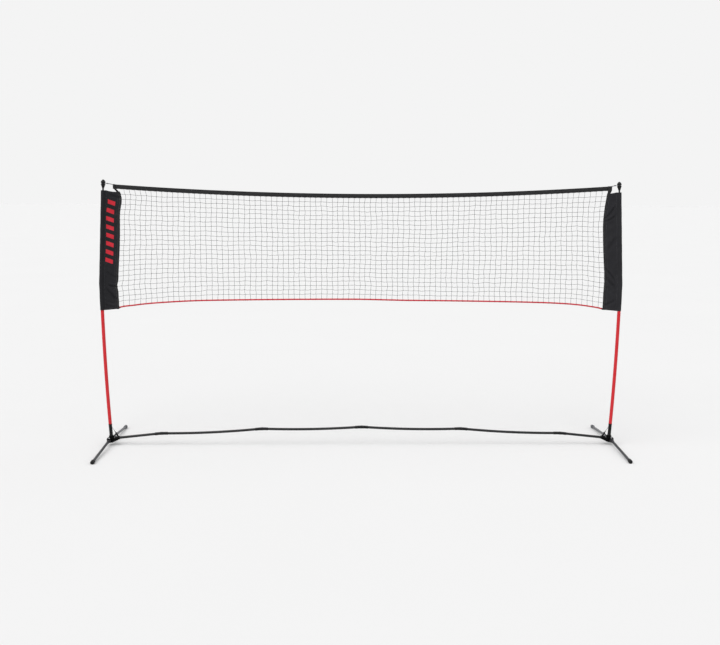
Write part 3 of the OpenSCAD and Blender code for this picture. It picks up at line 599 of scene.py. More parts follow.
# One grey enamel for every leg, in two copies: the front one darkened as painted shade, the
# rear one lightened as painted light.
FRONT_SHADED_LEG_STEEL = enamelled_steel("grey_enamelled_steel", "#313235", "#3f4043", "#232426")
REAR_LIT_LEG_STEEL = enamelled_steel("pale_grey_enamelled_steel", "#5f6063", "#727376",
                                 "#47484b")
BAR_STEEL = enamelled_steel("dark_enamelled_steel", "#0f0f10", "#18181a", "#0a0a0b", 0.38)
FRONT_CAP = moulded_rubber("cap_rubber", "#090909", "#161618")
# The rear caps' pale grey and its lighter blotches are painted light: a lit copy of the cap
# rubber.
REAR_LIT_CAP = moulded_rubber("pale_cap_rubber", "#606164", "#76777a")
RIVET_ZINC = zinc_plate("zinc_plated_steel")
ROD_GLASS = pultruded_fibreglass("pultruded_fibreglass")
PANEL_CLOTH = woven_polyester("panel_polyester", "#212124", "#2f2f32")
PRINTED_CLOTH = woven_polyester("printed_panel_polyester", "#1a1a1d", "#28282b", True)
EDGE_TAPE = woven_webbing("edge_binding_tape", "#0e0e0f", "#1b1b1d")
BAND_TAPE = woven_webbing("band_woven_tape", "#0e0e0f", "#1a1a1c", rib=1.3)
RED_CORD = braided_cord("red_polyester_cord", "#c4222f", "#d63a44", "#84141e", 2.4, 6.0)
GREY_CORD = braided_cord("grey_braided_cord", "#38383d", "#54545a", "#19191b", around=2.6)
ELASTIC = braided_cord("black_elastic_cord", "#1c1c1f", "#2c2c30", "#0c0c0d",
                       fleck="#6e6e74")
TWINE = netting_twine("netting_polyethylene")
WHIPPING = spun_thread("waxed_thread", "#4a1519", "#672329")
STITCHING = spun_thread("sewing_thread", "#414146", "#5a5a60")

# ------ growing what repeats


class Growth(Nodes):
    """A geometry tree with its named inputs."""

    def __init__(self, name, **sockets):
        super().__init__(bpy.data.node_groups.new(name, "GeometryNodeTree"))
        new = self.tree.interface.new_socket
        new("Geometry", in_out="INPUT", socket_type="NodeSocketGeometry")
        new("Geometry", in_out="OUTPUT", socket_type="NodeSocketGeometry")
        for label, kind in sockets.items():
            new(label.replace("_", " "), in_out="INPUT", socket_type="NodeSocket" + kind)
        self.given = self.tree.nodes.new("NodeGroupInput").outputs

    def shape(self, kind, settings=None, **inputs):
        """The first output in use of a new node."""
        return next(s for s in self.put(kind, settings, **inputs).outputs if s.enabled)

    def done(self, made):
        """Ends the tree: real geometry, smooth, with its material."""
        real = self.shape("GeometryNodeRealizeInstances", Geometry=made)
        smooth = self.shape("GeometryNodeSetShadeSmooth", Geometry=real)
        done = self.shape("GeometryNodeSetMaterial", Geometry=smooth,
                          Material=self.given["Material"])
        self.tree.links.new(done, self.tree.nodes.new("NodeGroupOutput").inputs[0])
        return self.tree


# How the slack net wanders: the width of its swings, in metres, and their share
SWAYS = ((0.150, 1.0), (0.038, 0.9))


def netting_tree():
    """Threads along a mesh's lines, with a knot at each tied point; slack lets them wander."""
    g = Growth("netting", Thread_radius="Float", Knot_radius="Float", Slack="Float",
               Seed="Float", Material="Material")
    here = g.shape("GeometryNodeInputPosition")
    shift = None
    for size, share in SWAYS:
        cloud = g.put("ShaderNodeTexNoise", {"noise_dimensions": "4D"}, Vector=here,
                      W=g.given["Seed"], Scale=1 / size, Detail=1.0).outputs["Color"]
        part = g.shape("ShaderNodeVectorMath", {"operation": "SUBTRACT"}, i0=cloud,
                       i1=(0.5,) * 3)
        part = g.shape("ShaderNodeVectorMath", {"operation": "MULTIPLY"}, i0=part,
                       i1=(share, share * 0.6, share))
        shift = part if shift is None else g.shape(
            "ShaderNodeVectorMath", {"operation": "ADD"}, i0=shift, i1=part)
    loose = g.shape("GeometryNodeInputNamedAttribute", {"data_type": "FLOAT"}, Name="loose")
    tied = g.shape("GeometryNodeInputNamedAttribute", {"data_type": "BOOLEAN"}, Name="tied")
    offset = g.shape("ShaderNodeVectorMath", {"operation": "SCALE"}, i0=shift,
                     Scale=g.product(loose, g.given["Slack"]))
    slackened = g.shape("GeometryNodeSetPosition", Geometry=g.given["Geometry"],
                        Offset=offset)
    ring = g.shape("GeometryNodeCurvePrimitiveCircle", Resolution=5,
                   Radius=g.given["Thread radius"])
    threads = g.shape("GeometryNodeCurveToMesh", Profile_Curve=ring, Fill_Caps=True,
                      Curve=g.shape("GeometryNodeMeshToCurve", Mesh=slackened))
    ball = g.shape("GeometryNodeMeshIcoSphere", Radius=g.given["Knot radius"],
                   Subdivisions=1)
    turn, grow = (g.shape("FunctionNodeRandomValue", {"data_type": "FLOAT_VECTOR"}, **ends)
                  for ends in ({"Max": (6.3,) * 3},
                               {"Min": (0.8, 0.7, 0.9), "Max": (1.15, 1.0, 1.4)}))
    knots = g.shape("GeometryNodeInstanceOnPoints", Points=slackened, Instance=ball,
                    Selection=tied, Rotation=turn, Scale=grow)
    both = g.put("GeometryNodeJoinGeometry", i0=knots)
    g.tree.links.new(threads, both.inputs[0])
    return g.done(both.outputs[0])


def sewing_tree():
    """Stitches at an even pitch along a mesh's lines."""
    g = Growth("sewing", Pitch="Float", Stitch="Float", Thread_radius="Float",
               Material="Material")
    curves = g.shape("GeometryNodeMeshToCurve", Mesh=g.given["Geometry"])
    at = g.put("GeometryNodeCurveToPoints", {"mode": "LENGTH"}, Curve=curves,
               Length=g.given["Pitch"])
    bead = g.shape("GeometryNodeMeshUVSphere", Segments=5, Rings=4, Radius=1.0)
    thick = g.given["Thread radius"]
    size = g.shape("ShaderNodeCombineXYZ", X=thick, Y=thick,
                   Z=g.product(g.given["Stitch"], 0.5))
    along = g.shape("FunctionNodeAlignRotationToVector", {"axis": "Z"},
                    Vector=at.outputs["Tangent"])
    return g.done(g.shape("GeometryNodeInstanceOnPoints", Points=at.outputs[0],
                          Instance=bead, Rotation=along, Scale=size))


def planting_tree():
    """A copy of a template at each point, facing the way that the point says."""
    g = Growth("planting", Template="Object", Spread="Float", Seed="Int",
               Material="Material")
    template = g.put("GeometryNodeObjectInfo", Object=g.given["Template"])
    facing = g.shape("GeometryNodeInputNamedAttribute", {"data_type": "FLOAT_VECTOR"},
                     Name="facing")
    turned_so = g.shape("FunctionNodeAlignRotationToVector", {"axis": "Z"}, Vector=facing)
    least, most = (g.of(operation, 1.0, g.given["Spread"])
                   for operation in ("SUBTRACT", "ADD"))
    size = g.shape("FunctionNodeRandomValue", {"data_type": "FLOAT"}, Min=least, Max=most,
                   Seed=g.given["Seed"])
    return g.done(g.shape("GeometryNodeInstanceOnPoints", Points=g.given["Geometry"],
                          Instance=template.outputs["Geometry"], Rotation=turned_so,
                          Scale=size))


NETTING, SEWING, PLANTING = netting_tree(), sewing_tree(), planting_tree()


def plain_mesh(obj, name):
    """The evaluated object as a plain mesh object; the original is removed."""
    bpy.context.view_layer.update()
    seen = obj.evaluated_get(bpy.context.evaluated_depsgraph_get())
    mesh = bpy.data.meshes.new_from_object(seen)
    mesh.name = name
    bpy.data.objects.remove(obj)
    return placed(name, mesh)


def grown(name, tree, lines, attributes=None, **inputs):
    """Runs a tree on polylines (or lone points) and returns the plain mesh it makes."""
    points, edges = [], []
    for line in lines:
        start = len(points)
        points += [tuple(map(float, p)) for p in line]
        edges += [(start + i, start + i + 1) for i in range(len(line) - 1)]
    mesh = bpy.data.meshes.new(name + "_lines")
    mesh.from_pydata(points, edges, [])
    for label, (kind, values) in (attributes or {}).items():
        mesh.attributes.new(label, kind, "POINT").data.foreach_set(
            "vector" if kind == "FLOAT_VECTOR" else "value", np.array(values).ravel())
    obj = placed(name + "_lines", mesh)
    modifier = obj.modifiers.new("grow", "NODES")
    modifier.node_group = tree
    for item in tree.interface.items_tree:
        if item.item_type == "SOCKET" and item.in_out == "INPUT" and item.name != "Geometry":
            modifier[item.identifier] = inputs[item.name.replace(" ", "_")]
    made = plain_mesh(obj, name)
    bpy.data.meshes.remove(mesh)
    return made


def planted(name, template, points, facing, material, spread_by, seed):
    """Copies of the template at the points; the template is removed."""
    made = grown(name, PLANTING, [[p] for p in points],
                 {"facing": ("FLOAT_VECTOR", np.array(facing, np.float32))},
                 Template=template, Spread=spread_by, Seed=seed, Material=material)
    bpy.data.objects.remove(template)
    return made


# ------ placing pieces

SIDES = (("left", -1), ("right", 1))
ENDS = (("front", 1), ("rear", -1))


def fitted(obj, material, body, slot, *nodes):
    """Gives a finished piece its material, body and the solids that it stands for; slot is not
    used.
    """
    if material is not None:
        obj.data.materials.clear()
        obj.data.materials.append(material)
    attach(obj, body)
    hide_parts(*nodes)
    return obj


def dressed(node, material):
    """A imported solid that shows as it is, with its own finish."""
    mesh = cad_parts[node].data
    mesh.materials.clear()
    mesh.materials.append(material)


def moulded(name, node, voxel, rounds, extras=()):
    """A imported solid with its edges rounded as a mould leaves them, and more shapes grown
    into it: the union is remeshed at the voxel size and smoothed."""
    bm = bmesh.new()
    bm.from_mesh(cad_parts[node].data)
    bmesh.ops.remove_doubles(bm, verts=bm.verts, dist=WELD)
    for extra in extras:
        bm.from_mesh(extra.data)
        bpy.data.objects.remove(extra)
    mesh = bpy.data.meshes.new(name)
    bm.to_mesh(mesh)
    bm.free()
    obj = placed(name, mesh)
    remesh = obj.modifiers.new("remesh", "REMESH")
    remesh.mode, remesh.voxel_size, remesh.use_smooth_shade = "VOXEL", voxel, True
    smooth = obj.modifiers.new("smooth", "SMOOTH")
    smooth.factor, smooth.iterations = 0.5, rounds
    obj.modifiers.new("thin", "DECIMATE").ratio = KEPT_FACES
    made = plain_mesh(obj, name)
    made.data.polygons.foreach_set("use_smooth", [True] * len(made.data.polygons))
    return made


def mm(profile, start=0.0):
    """A profile written in millimetres, its distances counted from the start."""
    return [(start + s * MM, r * MM) for s, r in profile]


def rod_profile(start, end, radius, bevel=0.0006, step=0.02):
    """A plain rod, its long run split so that it follows a bowed rail."""
    return spread(eased([(start, 0), (start, radius), (end, radius), (end, 0)], bevel), step)


def lathe(rail, profile, sides=48, **more):
    """A new shell with one turned form."""
    return turned(Shell(), rail, profile, sides, **more)


UP = (0, 0, 1)

# ------ poles

ROD_START, ROD_END = 0.030, ROD_LEN - 0.002
# Name, rail, profile, sides, material, slot and the solid that each stands for
POLE_PIECES = (
    ("pole_lower", lower_rail, rod_profile(FERRULE_H, TUBE_TOP, POLE_R), 48,
     RED_ENAMEL, "pole_red_paint", "pole_tube"),
    ("ferrule", lower_rail, eased(mm([
        (-31, 0), (-31, 6.6), (-0.4, 9.6), (0.1, 9.6), (0.1, 10.9), (5, 10.9), (6, 10.1),
        (52, 10.0), (60, 10.0), (60.4, 9.7), (61.6, 9.7), (62, 10.0), (64, 10.0),
        (64.4, 9.7), (65.6, 9.7), (66, 10.0), (67, 10.7), (71.5, 10.7), (72, 10.2),
        (72, 9.9), (73, 9.4), (73, 0)]), 0.0005), 48,
     SLEEVE_BLACK, "ferrule_plastic", "pole_ferrule"),
    ("upper_rod", rod_rail, rod_profile(ROD_START, ROD_END, ROD_R, 0.0004, 1.0), 32,
     ROD_GLASS, "rod_fibreglass", "pole_rod"),
    ("knob_top", rod_rail, eased(mm([
        (-27, 0), (-27, 5.9), (-26, 6.5), (-22, 7.1), (-8, 12.2), (-5.4, 13.3), (-3.6, 13.3),
        (-2.9, 12.4), (-2.6, 9.6), (2.6, 9.6), (2.9, 12.2), (4.2, 13.3), (7.5, 13.4),
        (10.5, 12.6), (17.0, 8.4), (20.2, 5.4), (21.7, 2.6), (22, 0)], ROD_LEN), 0.0012, 4),
     48, KNOB_BLACK, "knob_plastic", "knob"))
# The eyelet in the ferrule from which the tether comes
TETHER_MOUTH = mm([(-1, 2.9), (0.6, 2.9), (1.0, 2.5), (1.0, 2.0), (0.6, 1.5), (-1, 1.5)])

for side, sx in SIDES:
    for name, rail, profile, sides, material, slot, node in POLE_PIECES:
        shell = lathe(rail, profile, sides)
        if name == "ferrule":
            turned(shell, straight(TETHER_EXIT + [0.8 * MM, 0, 0], (-1, 0, 0)), TETHER_MOUTH,
                   20, loop=True)
        shell.fit(f"{name}_{side}", material, "net_frame", slot, f"{node}_{side}", sx)
    dressed(f"pole_reducer_{side}", SLEEVE_BLACK)
    dressed(f"pole_elastic_{side}", ELASTIC)

# ------ hubs and legs

# Heights of the rings round each pin, on the lower lug and on the upper one
BOSS_ZS = (0.0198, EAR_TOP - 0.0004)


def hub_extras(sx):
    """The lips of the hub's two sockets and the rings round its pins."""
    bar_socket = straight((BAR_IN[0], 0, BAR_IN[1]),
                          (-cos(END_RISE), 0, sin(END_RISE)))
    rings = [(bar_socket, (18.5, 21.6), (7.7, 11.2), 48),
             (lower_rail, (-3.2, -0.2), (10.3, 14.2), 48)]
    rings += [(straight((LEG_PIN[0], y, z), UP), (0, 0.6), (5.6, 8.6), 40)
              for y in (-PIN_Y, PIN_Y) for z in BOSS_ZS]
    return [lathe(rail, mm([(low, bore), (low, rim), (high, rim), (high, bore)]), sides,
                  loop=True).object("ring", sx)
            for rail, (low, high), (bore, rim), sides in rings]


for side, sx in SIDES:
    hub = moulded(f"hub_casting_{side}", f"hub_{side}", fine(0.7 * MM), 7,
                  hub_extras(sx))
    fitted(hub, HUB_BLACK, "base", "hub_plastic", f"hub_{side}")

    rivet = lathe(straight((0, 0, 0), UP), eased(mm([
        (17.9, 0), (17.9, 3.4), (18.6, 4.6), (19.9, 5.0), (19.9, 3.0), (46.1, 3.0),
        (46.1, 5.0), (46.9, 4.7), (47.7, 3.4), (48.0, 2.2), (47.9, 1.5), (47.2, 1.2),
        (47.1, 0)]), 0.0003), 32)
    rivets = planted(f"leg_rivets_{side}", rivet.object("rivet_template"),
                     [(sx * LEG_PIN[0], y, 0) for y in (-PIN_Y, PIN_Y)], [UP] * 2,
                     RIVET_ZINC, spread_by=0.0, seed=3)
    rivets.data.set_sharp_from_angle(angle=radians(40))
    fitted(rivets, None, "base", "pin_steel", f"leg_pins_{side}")

    # The front knuckles and legs take the shaded copies, and the rear knuckles, legs and caps
    # the lit copies: painted shade and painted light.
    for (end, sy), plastic, steel, rubber in zip(
            ENDS, (FRONT_SHADED_KNUCKLE, REAR_LIT_KNUCKLE), (FRONT_SHADED_LEG_STEEL, REAR_LIT_LEG_STEEL),
            (FRONT_CAP, REAR_LIT_CAP)):
        body = f"leg_{end}_{side}"
        knuckle = moulded(f"knuckle_{end}_{side}", f"leg_knuckle_{end}_{side}",
                          fine(0.6 * MM), 5)
        fitted(knuckle, plastic, body, "knuckle_plastic", f"leg_knuckle_{end}_{side}")
        tube = lathe(leg_rail, rod_profile(LEG_START, LEG_LEN + TUBE_R, TUBE_R), 40,
                     across=(1, 0, 0))
        tube.fit(f"leg_{end}_{side}", steel, body, "leg_steel", f"leg_tube_{end}_{side}", sx,
                 sy)
        cap = lathe(leg_rail, eased(mm([
            (22, 0), (22, 7.6), (0, 7.6), (0, 10.1), (0.9, 11), (4, 11), (4.4, 10.5),
            (5.6, 10.5), (6, 11), (8, 11), (8.4, 10.5), (9.6, 10.5), (10, 11), (23.5, 11),
            (26, 10.2), (27.5, 8.4), (28, 6.4), (28, 0)], LEG_LEN - CAP_L / 2), 0.0004),
            across=(1, 0, 0))
        cap.points = [(x, y, max(z, 0.0)) for x, y, z in cap.points]
        cap.fit(f"cap_{end}_{side}", rubber, body, "cap_rubber", f"foot_cap_{end}_{side}", sx,
                sy)

# ------ base bar

JOINT_GAP = 0.0022
CONNECTOR = spread(eased(mm([
    (-38, 7.65), (-38, 8.7), (-37.4, 9.1), (-34.6, 9.1), (-34, 8.8), (-9, 8.8), (-4, 9.25),
    (4, 9.25), (9, 8.8), (34, 8.8), (34.6, 9.1), (37.4, 9.1), (38, 8.7), (38, 7.65)]),
    0.0004), 0.003)


def tube_rail(arc, from_outer):
    """A rail along a hanging tube from its outer or inner joint."""
    c, r, a0, a1 = arc
    turn = copysign(1, a1 - a0)
    start, turn = (a0, turn) if from_outer else (a1, -turn)

    def rail(s):
        a = start + turn * s / r
        return (np.array([c[0] + r * cos(a), 0, c[1] + r * sin(a)]),
                turn * np.array([-sin(a), 0, cos(a)]))
    return rail


def elbow(first, second, ease=0.024):
    """One rail over two that start at the same joint, first running back from it and second
    onward, with the bend between them rounded."""
    def rail(s):
        if abs(s) >= ease:
            p, d = second(s) if s > 0 else first(-s)
            return p, d if s > 0 else -d
        a, b, c = first(ease)[0], first(0)[0], second(ease)[0]
        t = (s + ease) / (2 * ease)
        return bezier([a, b, c], t), unit(bezier([b - a, c - b], t))
    return rail


def connector(place, rail, side=1):
    """A sleeve over the joint of two of the bar's tubes."""
    lathe(rail, CONNECTOR, 44, loop=True).fit(
        f"connector_{place}", SLEEVE_BLACK, "base", "connector_plastic",
        f"bar_connector_{place}", side)


bar_end, outer_joint = (np.array([x, 0, z]) for x, z in (BAR_IN, OUTER_JOINT))
(outer_in, outer_back), (inner_in, inner_back) = (
    [tube_rail(arc, from_outer) for from_outer in (True, False)]
    for arc in (OUTER_HANG, INNER_HANG))
for side, sx in SIDES:
    for name, rail, length in (
            ("end", straight(bar_end, outer_joint - bar_end), dist(BAR_IN, OUTER_JOINT)),
            ("outer", outer_in, OUTER_HANG[1] * abs(OUTER_HANG[3] - OUTER_HANG[2])),
            ("inner", inner_in, INNER_HANG[1] * abs(INNER_HANG[3] - INNER_HANG[2]))):
        lathe(rail, rod_profile(JOINT_GAP, length - JOINT_GAP, TUBE_R), 40).fit(
            f"bar_{name}_{side}", BAR_STEEL, "base", "bar_steel", f"bar_tube_{name}_{side}",
            sx)
    back_out = straight(outer_joint, bar_end - outer_joint)
    connector(f"outer_{side}", elbow(back_out, outer_in), sx)
    connector(f"inner_{side}", elbow(outer_back, inner_in), sx)
connector("middle", elbow(inner_back, lambda s: [p * [-1, 1, 1] for p in inner_back(s)]))
dressed("bar_shock_cord", ELASTIC)

# ------ side panels

CLOTH_T, SLEEVE_OUT, SLEEVE_IN, SEAM_AT = 1.1 * MM, 12.1 * MM, 10.9 * MM, 17 * MM
HEM_H, INNER_HEM, HEM_EASE = 10 * MM, 21 * MM, 1 * MM
PLATE_W, PLATE_H = PANEL_W - SEAM_AT, PANEL_TOP - PANEL_BOTTOM - 2 * CORNER_EASE
TAPE_W, TAPE_T = 12 * MM, 1.3 * MM
TAPE_FOLD_OUT, TAPE_FOLD_IN, TAPE_WRAP, TAPE_SELVEDGE = 1.7 * MM, 0.4 * MM, 6 * MM, 0.75
LINING, PLATE_PLY, END_INSET = 0.05 * MM, 0.06 * MM, 1.5 * MM
PUCKER, PUCKER_PITCH, PUCKER_REACH = 0.22 * MM, 8 * MM, 7 * MM
# Across the panel's cut, in metres: the sleeve's share of it and the back plate's inner edge
SLEEVE_FROM, SLEEVE_CUT, BACK_EDGE = 0.012, 0.058, 0.26


def points_of(*parts):
    """Coordinates side by side, one point to a row; single numbers are repeated."""
    return np.stack(np.broadcast_arrays(*parts), 1)


def bell(value, centre, spread_by):
    """1 at the centre, falling off smoothly on both sides."""
    return np.exp(-((value - centre) / spread_by) ** 2)


def skin(stations, shell=None):
    """A closed ribbon of cloth, added to the shell or to a new one. Each station is a line of
    points on its outer skin, one on its inner skin and one of UVs."""
    shell = shell or Shell()
    outer, inner, uvs = (np.stack(lines, 1) for lines in zip(*stations))
    m, n = outer.shape[:2]
    start = shell.tube(np.concatenate([outer, inner[:, ::-1]], axis=1).tolist(),
                       np.concatenate([uvs, uvs[:, ::-1]], axis=1).tolist())
    for row, turn in ((0, -1), (m - 1, 1)):
        base = start + row * 2 * n
        shell.faces += [(base + j, base + j + 1, base + 2 * n - 2 - j,
                         base + 2 * n - 1 - j)[::turn] for j in range(n - 1)]
    return shell


def panel_width(z, side):
    """Width of the panel from the pole's axis at the height z: each hangs its own way."""
    if side < 0:
        return PANEL_W + MM * (9 * bell(z, 1.452, 0.045) + 4 * bell(z, 1.22, 0.13)
                               - 6 * bell(z, 0.957, 0.024)
                               - 6 * np.clip((z - PANEL_TOP + 30 * MM) / (21 * MM), 0, 1) ** 2)
    return PANEL_W - MM * (27 * np.clip((z - 1.30) / 0.2, 0, 1) ** 1.7
                           + 4 * bell(z, 1.04, 0.09))


def panel_edge(z, side):
    """X of the panel's inner edge at the height z."""
    return pole_x(z) - float(panel_width(z, side))


# Folds by side: from and to as (distance from the inner edge, height), half-width and depth
FOLDS = {
    -1: [((0.078, 0.960), (0.010, 0.880), 8, 7.5), ((0.050, 0.962), (-0.005, 0.956), 6, 6.0),
         ((0.070, 1.040), (0.010, 1.005), 9, 4.5), ((0.060, 1.486), (0.000, 1.470), 7, 4.5),
         ((0.080, 1.455), (0.030, 1.380), 8, 3.0), ((0.080, 0.860), (0.020, 0.845), 7, -3.6)],
    1: [((0.072, 1.450), (0.012, 1.365), 6, 6.0), ((0.078, 1.382), (0.014, 1.345), 6, 5.5),
        ((0.010, 1.060), (0.076, 0.970), 7, 7.5), ((0.004, 1.010), (0.078, 0.935), 8, 5.5),
        ((0.070, 1.240), (0.020, 1.175), 10, 4.0), ((0.075, 0.880), (0.010, 0.850), 8, 4.5)],
}


def fold_at(side, q, z):
    """How far the cloth stands back from the panel's plane, q in from its inner edge."""
    total = MM * (0.7 * np.sin(41 * z + 1.3 * side) * np.sin(30 * q + 2 * z)
                  + 0.45 * np.sin(97 * z - 60 * q + side))
    for (q0, z0), (q1, z1), half, depth in FOLDS[side]:
        along, up, half = q1 - q0, z1 - z0, half * MM
        length = hypot(along, up)
        t = ((q - q0) * along + (z - z0) * up) / length ** 2
        off = ((q - q0) * up - (z - z0) * along) / length + 4 * MM * np.sin(3 * t)
        window = np.exp(-(np.maximum(0, np.abs(t - 0.5) - 0.38) / 0.16) ** 2)
        total = total + depth * MM * window * (bell(off, 0, half)
                                               - 0.45 * bell(off, 1.7 * half, 1.2 * half))
    return total * ramp(panel_width(z, side) - q, SEAM_AT + 1 * MM, SEAM_AT + 24 * MM)


def half_thickness(q, z, top, bottom):
    """Half the doubled cloth, thicker where it is folded under along its edges."""
    hem = 1 - ramp(np.minimum(top - z, z - bottom), HEM_H - HEM_EASE, HEM_H + HEM_EASE)
    inner = 1 - ramp(q, INNER_HEM - HEM_EASE, INNER_HEM + HEM_EASE)
    pucker = PUCKER * np.sin(z / PUCKER_PITCH * TAU) * bell(q, INNER_HEM, PUCKER_REACH)
    return CLOTH_T + MM * (0.1 + 0.45 * hem + 0.35 * inner) + pucker


def panel_point(side, share, t, face):
    """Point on the cloth's outer skin: share runs from the inner edge (0) to the sleeve's
    seam (1), t from the bottom edge to the top; face is -1 in front and 1 behind."""
    ease = CORNER_EASE * (1 - share) + END_INSET * share
    sag = (4.0 if side < 0 else 1.5) * MM * np.sin(pi * share)
    bottom, top = PANEL_BOTTOM + ease, PANEL_TOP - ease - sag
    z = bottom + (top - bottom) * t
    width = panel_width(z, side)
    q = (width - SEAM_AT) * share
    x = np.vectorize(pole_x)(z) - width + q
    mid = fold_at(side, q, z)
    return x, mid + face * half_thickness(q, z, top, bottom), z, q, mid


def side_panel(side):
    """Two plates of cloth and, between them, the sleeve round the pole."""
    t = np.linspace(0, 1, fine(260))
    k = np.linspace(0, 1, fine(36))
    shares = k - 0.10 * np.sin(TAU * k) / pi
    around = fine(24)

    def plate(face, order):
        for share in order:
            x, y, z, q, mid = panel_point(side, share, t, face)
            yield (points_of(x, y, z), points_of(x, mid + face * PLATE_PLY, z),
                   points_of(q if face < 0 else BACK_EDGE - q, z - PANEL_BOTTOM))

    def sleeve():
        z = PANEL_BOTTOM + END_INSET + (PANEL_TOP - PANEL_BOTTOM - 2 * END_INSET) * t
        axis = np.vectorize(pole_x)(z)
        edge = acos(SLEEVE_OUT / SEAM_AT)
        for i in range(around + 1):
            phi = pi + edge + (TAU - 2 * edge) * i / around
            ripple = 0.25 * MM * np.sin(2 * phi + 60 * z) * sin(pi * i / around)
            c, s = cos(phi), sin(phi)
            u = panel_width(z, side) - SEAM_AT + SLEEVE_FROM + SLEEVE_CUT * i / around
            yield (points_of(axis + (SLEEVE_OUT + ripple) * c, (SLEEVE_OUT + ripple) * s, z),
                   points_of(axis + SLEEVE_IN * c, SLEEVE_IN * s, z),
                   points_of(u, z - PANEL_BOTTOM))

    return skin([*plate(-1, shares), *sleeve(), *plate(1, shares[::-1])])


def tape_shell(side):
    """Binding folded over the panel's inner edge."""
    t = np.linspace(-0.0015, 1.0015, fine(220))
    reach = TAPE_W / PLATE_W
    flats = np.linspace(reach, 0, 6)
    stations = []
    for face, order in ((-1, flats), (0, np.linspace(-1, 1, 9)[1:-1]), (1, flats[::-1])):
        for step in order:
            share = step if face else 0.0
            x, y, z, q, mid = panel_point(side, share, t, face or 1)
            half = np.abs(y - mid)
            if face:
                lift = TAPE_T * (TAPE_SELVEDGE if abs(share - reach) < 1e-6 else 1.0)
                y_out, y_in = mid + face * (half + lift), mid + face * (half + LINING)
                x_out = x_in = x
                u = TAPE_W - q if face < 0 else TAPE_W + TAPE_WRAP + q
            else:
                c, s = cos(step * pi / 2), sin(step * pi / 2)
                x_out, x_in = x - TAPE_FOLD_OUT * c, x - TAPE_FOLD_IN * c
                y_out, y_in = mid + (half + TAPE_T) * s, mid + half * s
                u = TAPE_W + TAPE_WRAP / 2 * (1 + step)
            stations.append((points_of(x_out, y_out, z), points_of(x_in, y_in, z),
                             points_of(u, z)))
    return skin(stations)


# The right end of the band hangs further out, by a tape that has come unfolded
BAND_REACH = {-1: BAND_X, 1: BAND_X + 13 * MM}
STRAP_WIDTHS = {-1: (11 * MM, 11 * MM), 1: (15 * MM, 22 * MM)}


def add_strap(shell, side):
    """Strap from the panel's upper inner corner to the end of the band, and the patch that
    it is sewn to, folded over the band's end."""
    end, (low_w, top_w) = BAND_REACH[side], STRAP_WIDTHS[side]
    corner_z, hem_z = PANEL_TOP - CORNER_EASE, BAND_END_Z - BAND_H
    low_x = panel_edge(corner_z, side) - 0.5 * MM + low_w / 2
    top_x = end + 1.5 * MM - top_w / 2
    mid = bezier(np.array([(low_x, -3.3 * MM, corner_z - 14 * MM),
                           (low_x - 1 * MM, -3.5 * MM, corner_z + 6 * MM),
                           (top_x - 1 * MM, -4.4 * MM, hem_z - 9 * MM),
                           (top_x, -4.5 * MM, BAND_END_Z - 4 * MM)]),
                 np.linspace(0, 1, 30)[:, None])
    along = unit(np.gradient(mid, axis=0))
    widths = low_w + (top_w - low_w) * ramp(mid[:, 2], corner_z - 4 * MM, hem_z)
    across = points_of(along[:, 2], 0, -along[:, 0]) * widths[:, None]
    stations = []
    for share in np.linspace(-0.5, 0.5, 7):
        dish, flat = 0.5 * MM * (1 - (2 * share) ** 2), mid + across * share
        stations.append((flat - [0, TAPE_T / 2 + dish, 0], flat + [0, TAPE_T / 2 - dish, 0],
                         points_of(share * TAPE_W, run_of(mid))))
    skin(stations, shell)

    rows = np.linspace(hem_z - 1.2 * MM, BAND_END_Z + 1.0 * MM, 14)
    skirt = 1 - 0.28 * ramp(BAND_END_Z - rows, 3 * MM, 9 * MM)
    flats = [end - top_w, end - top_w / 2, end]
    path = [(x, -1) for x in flats] + [(end, a) for a in np.linspace(-1, 1, 9)[1:-1]] + [
        (x, 1) for x in flats[::-1]]
    stations = []
    for k, (x, a) in enumerate(path):
        c, s = cos(a * pi / 2), sin(a * pi / 2)
        stations.append([points_of(x + reach * MM * c, half * MM * s * skirt,
                                   rows + (band_z(x) - BAND_END_Z))
                         for reach, half in ((2.4, 4.0), (1.1, 2.9))]
                        + [points_of(rows, 2 * MM * k)])
    skin(stations, shell)


for side, sx in SIDES:
    cloth = side_panel(sx).fit(f"panel_{side}", PRINTED_CLOTH if sx < 0 else PANEL_CLOTH,
                               "net_frame", "panel_fabric", f"side_panel_{side}", sx,
                               sharp=60)
    binding = tape_shell(sx)
    add_strap(binding, sx)
    tape = binding.fit(f"edge_binding_{side}", EDGE_TAPE, "net_frame", "tape_webbing",
                       f"edge_tape_{side}", sx, sharp=50)

# ------ band

BAND_PLY, CHANNEL_R = 1.05 * MM, 1.35 * MM
BAND_ROLL = CHANNEL_R + BAND_PLY
BAND_SEAMS = (8.5 * MM, 21.5 * MM)


def band_wave(x):
    """The band's slight swing back and forth along its length."""
    return MM * (1.1 * np.sin(5.1 * x + 0.6) + 0.7 * np.sin(13.7 * x + 2.1))


def band_half(depth, x):
    """Half the band's thickness at a depth below its top edge."""
    if depth <= BAND_ROLL:
        return np.sqrt(max(BAND_ROLL ** 2 - (BAND_ROLL - depth) ** 2, 0)) + 0 * x
    gather = 0.16 * MM * np.sin(x / (9 * MM) * TAU)
    flat = BAND_PLY + 0.15 * MM
    body = flat + (BAND_ROLL - flat) * (1 - ramp(depth, BAND_ROLL + 0.5 * MM, 7 * MM))
    puff = 0.5 * MM * sin(pi * min(max((depth - 8.5 * MM) / (13 * MM), 0), 1))
    hem = 0.35 * MM * ramp(depth, 18 * MM, 20 * MM)
    dip = sum(bell(depth, seam, 1.2 * MM) for seam in BAND_SEAMS)
    return body + puff + hem - 0.25 * MM * dip + gather * (1 - dip) * ramp(depth, 4e-3, 8e-3)


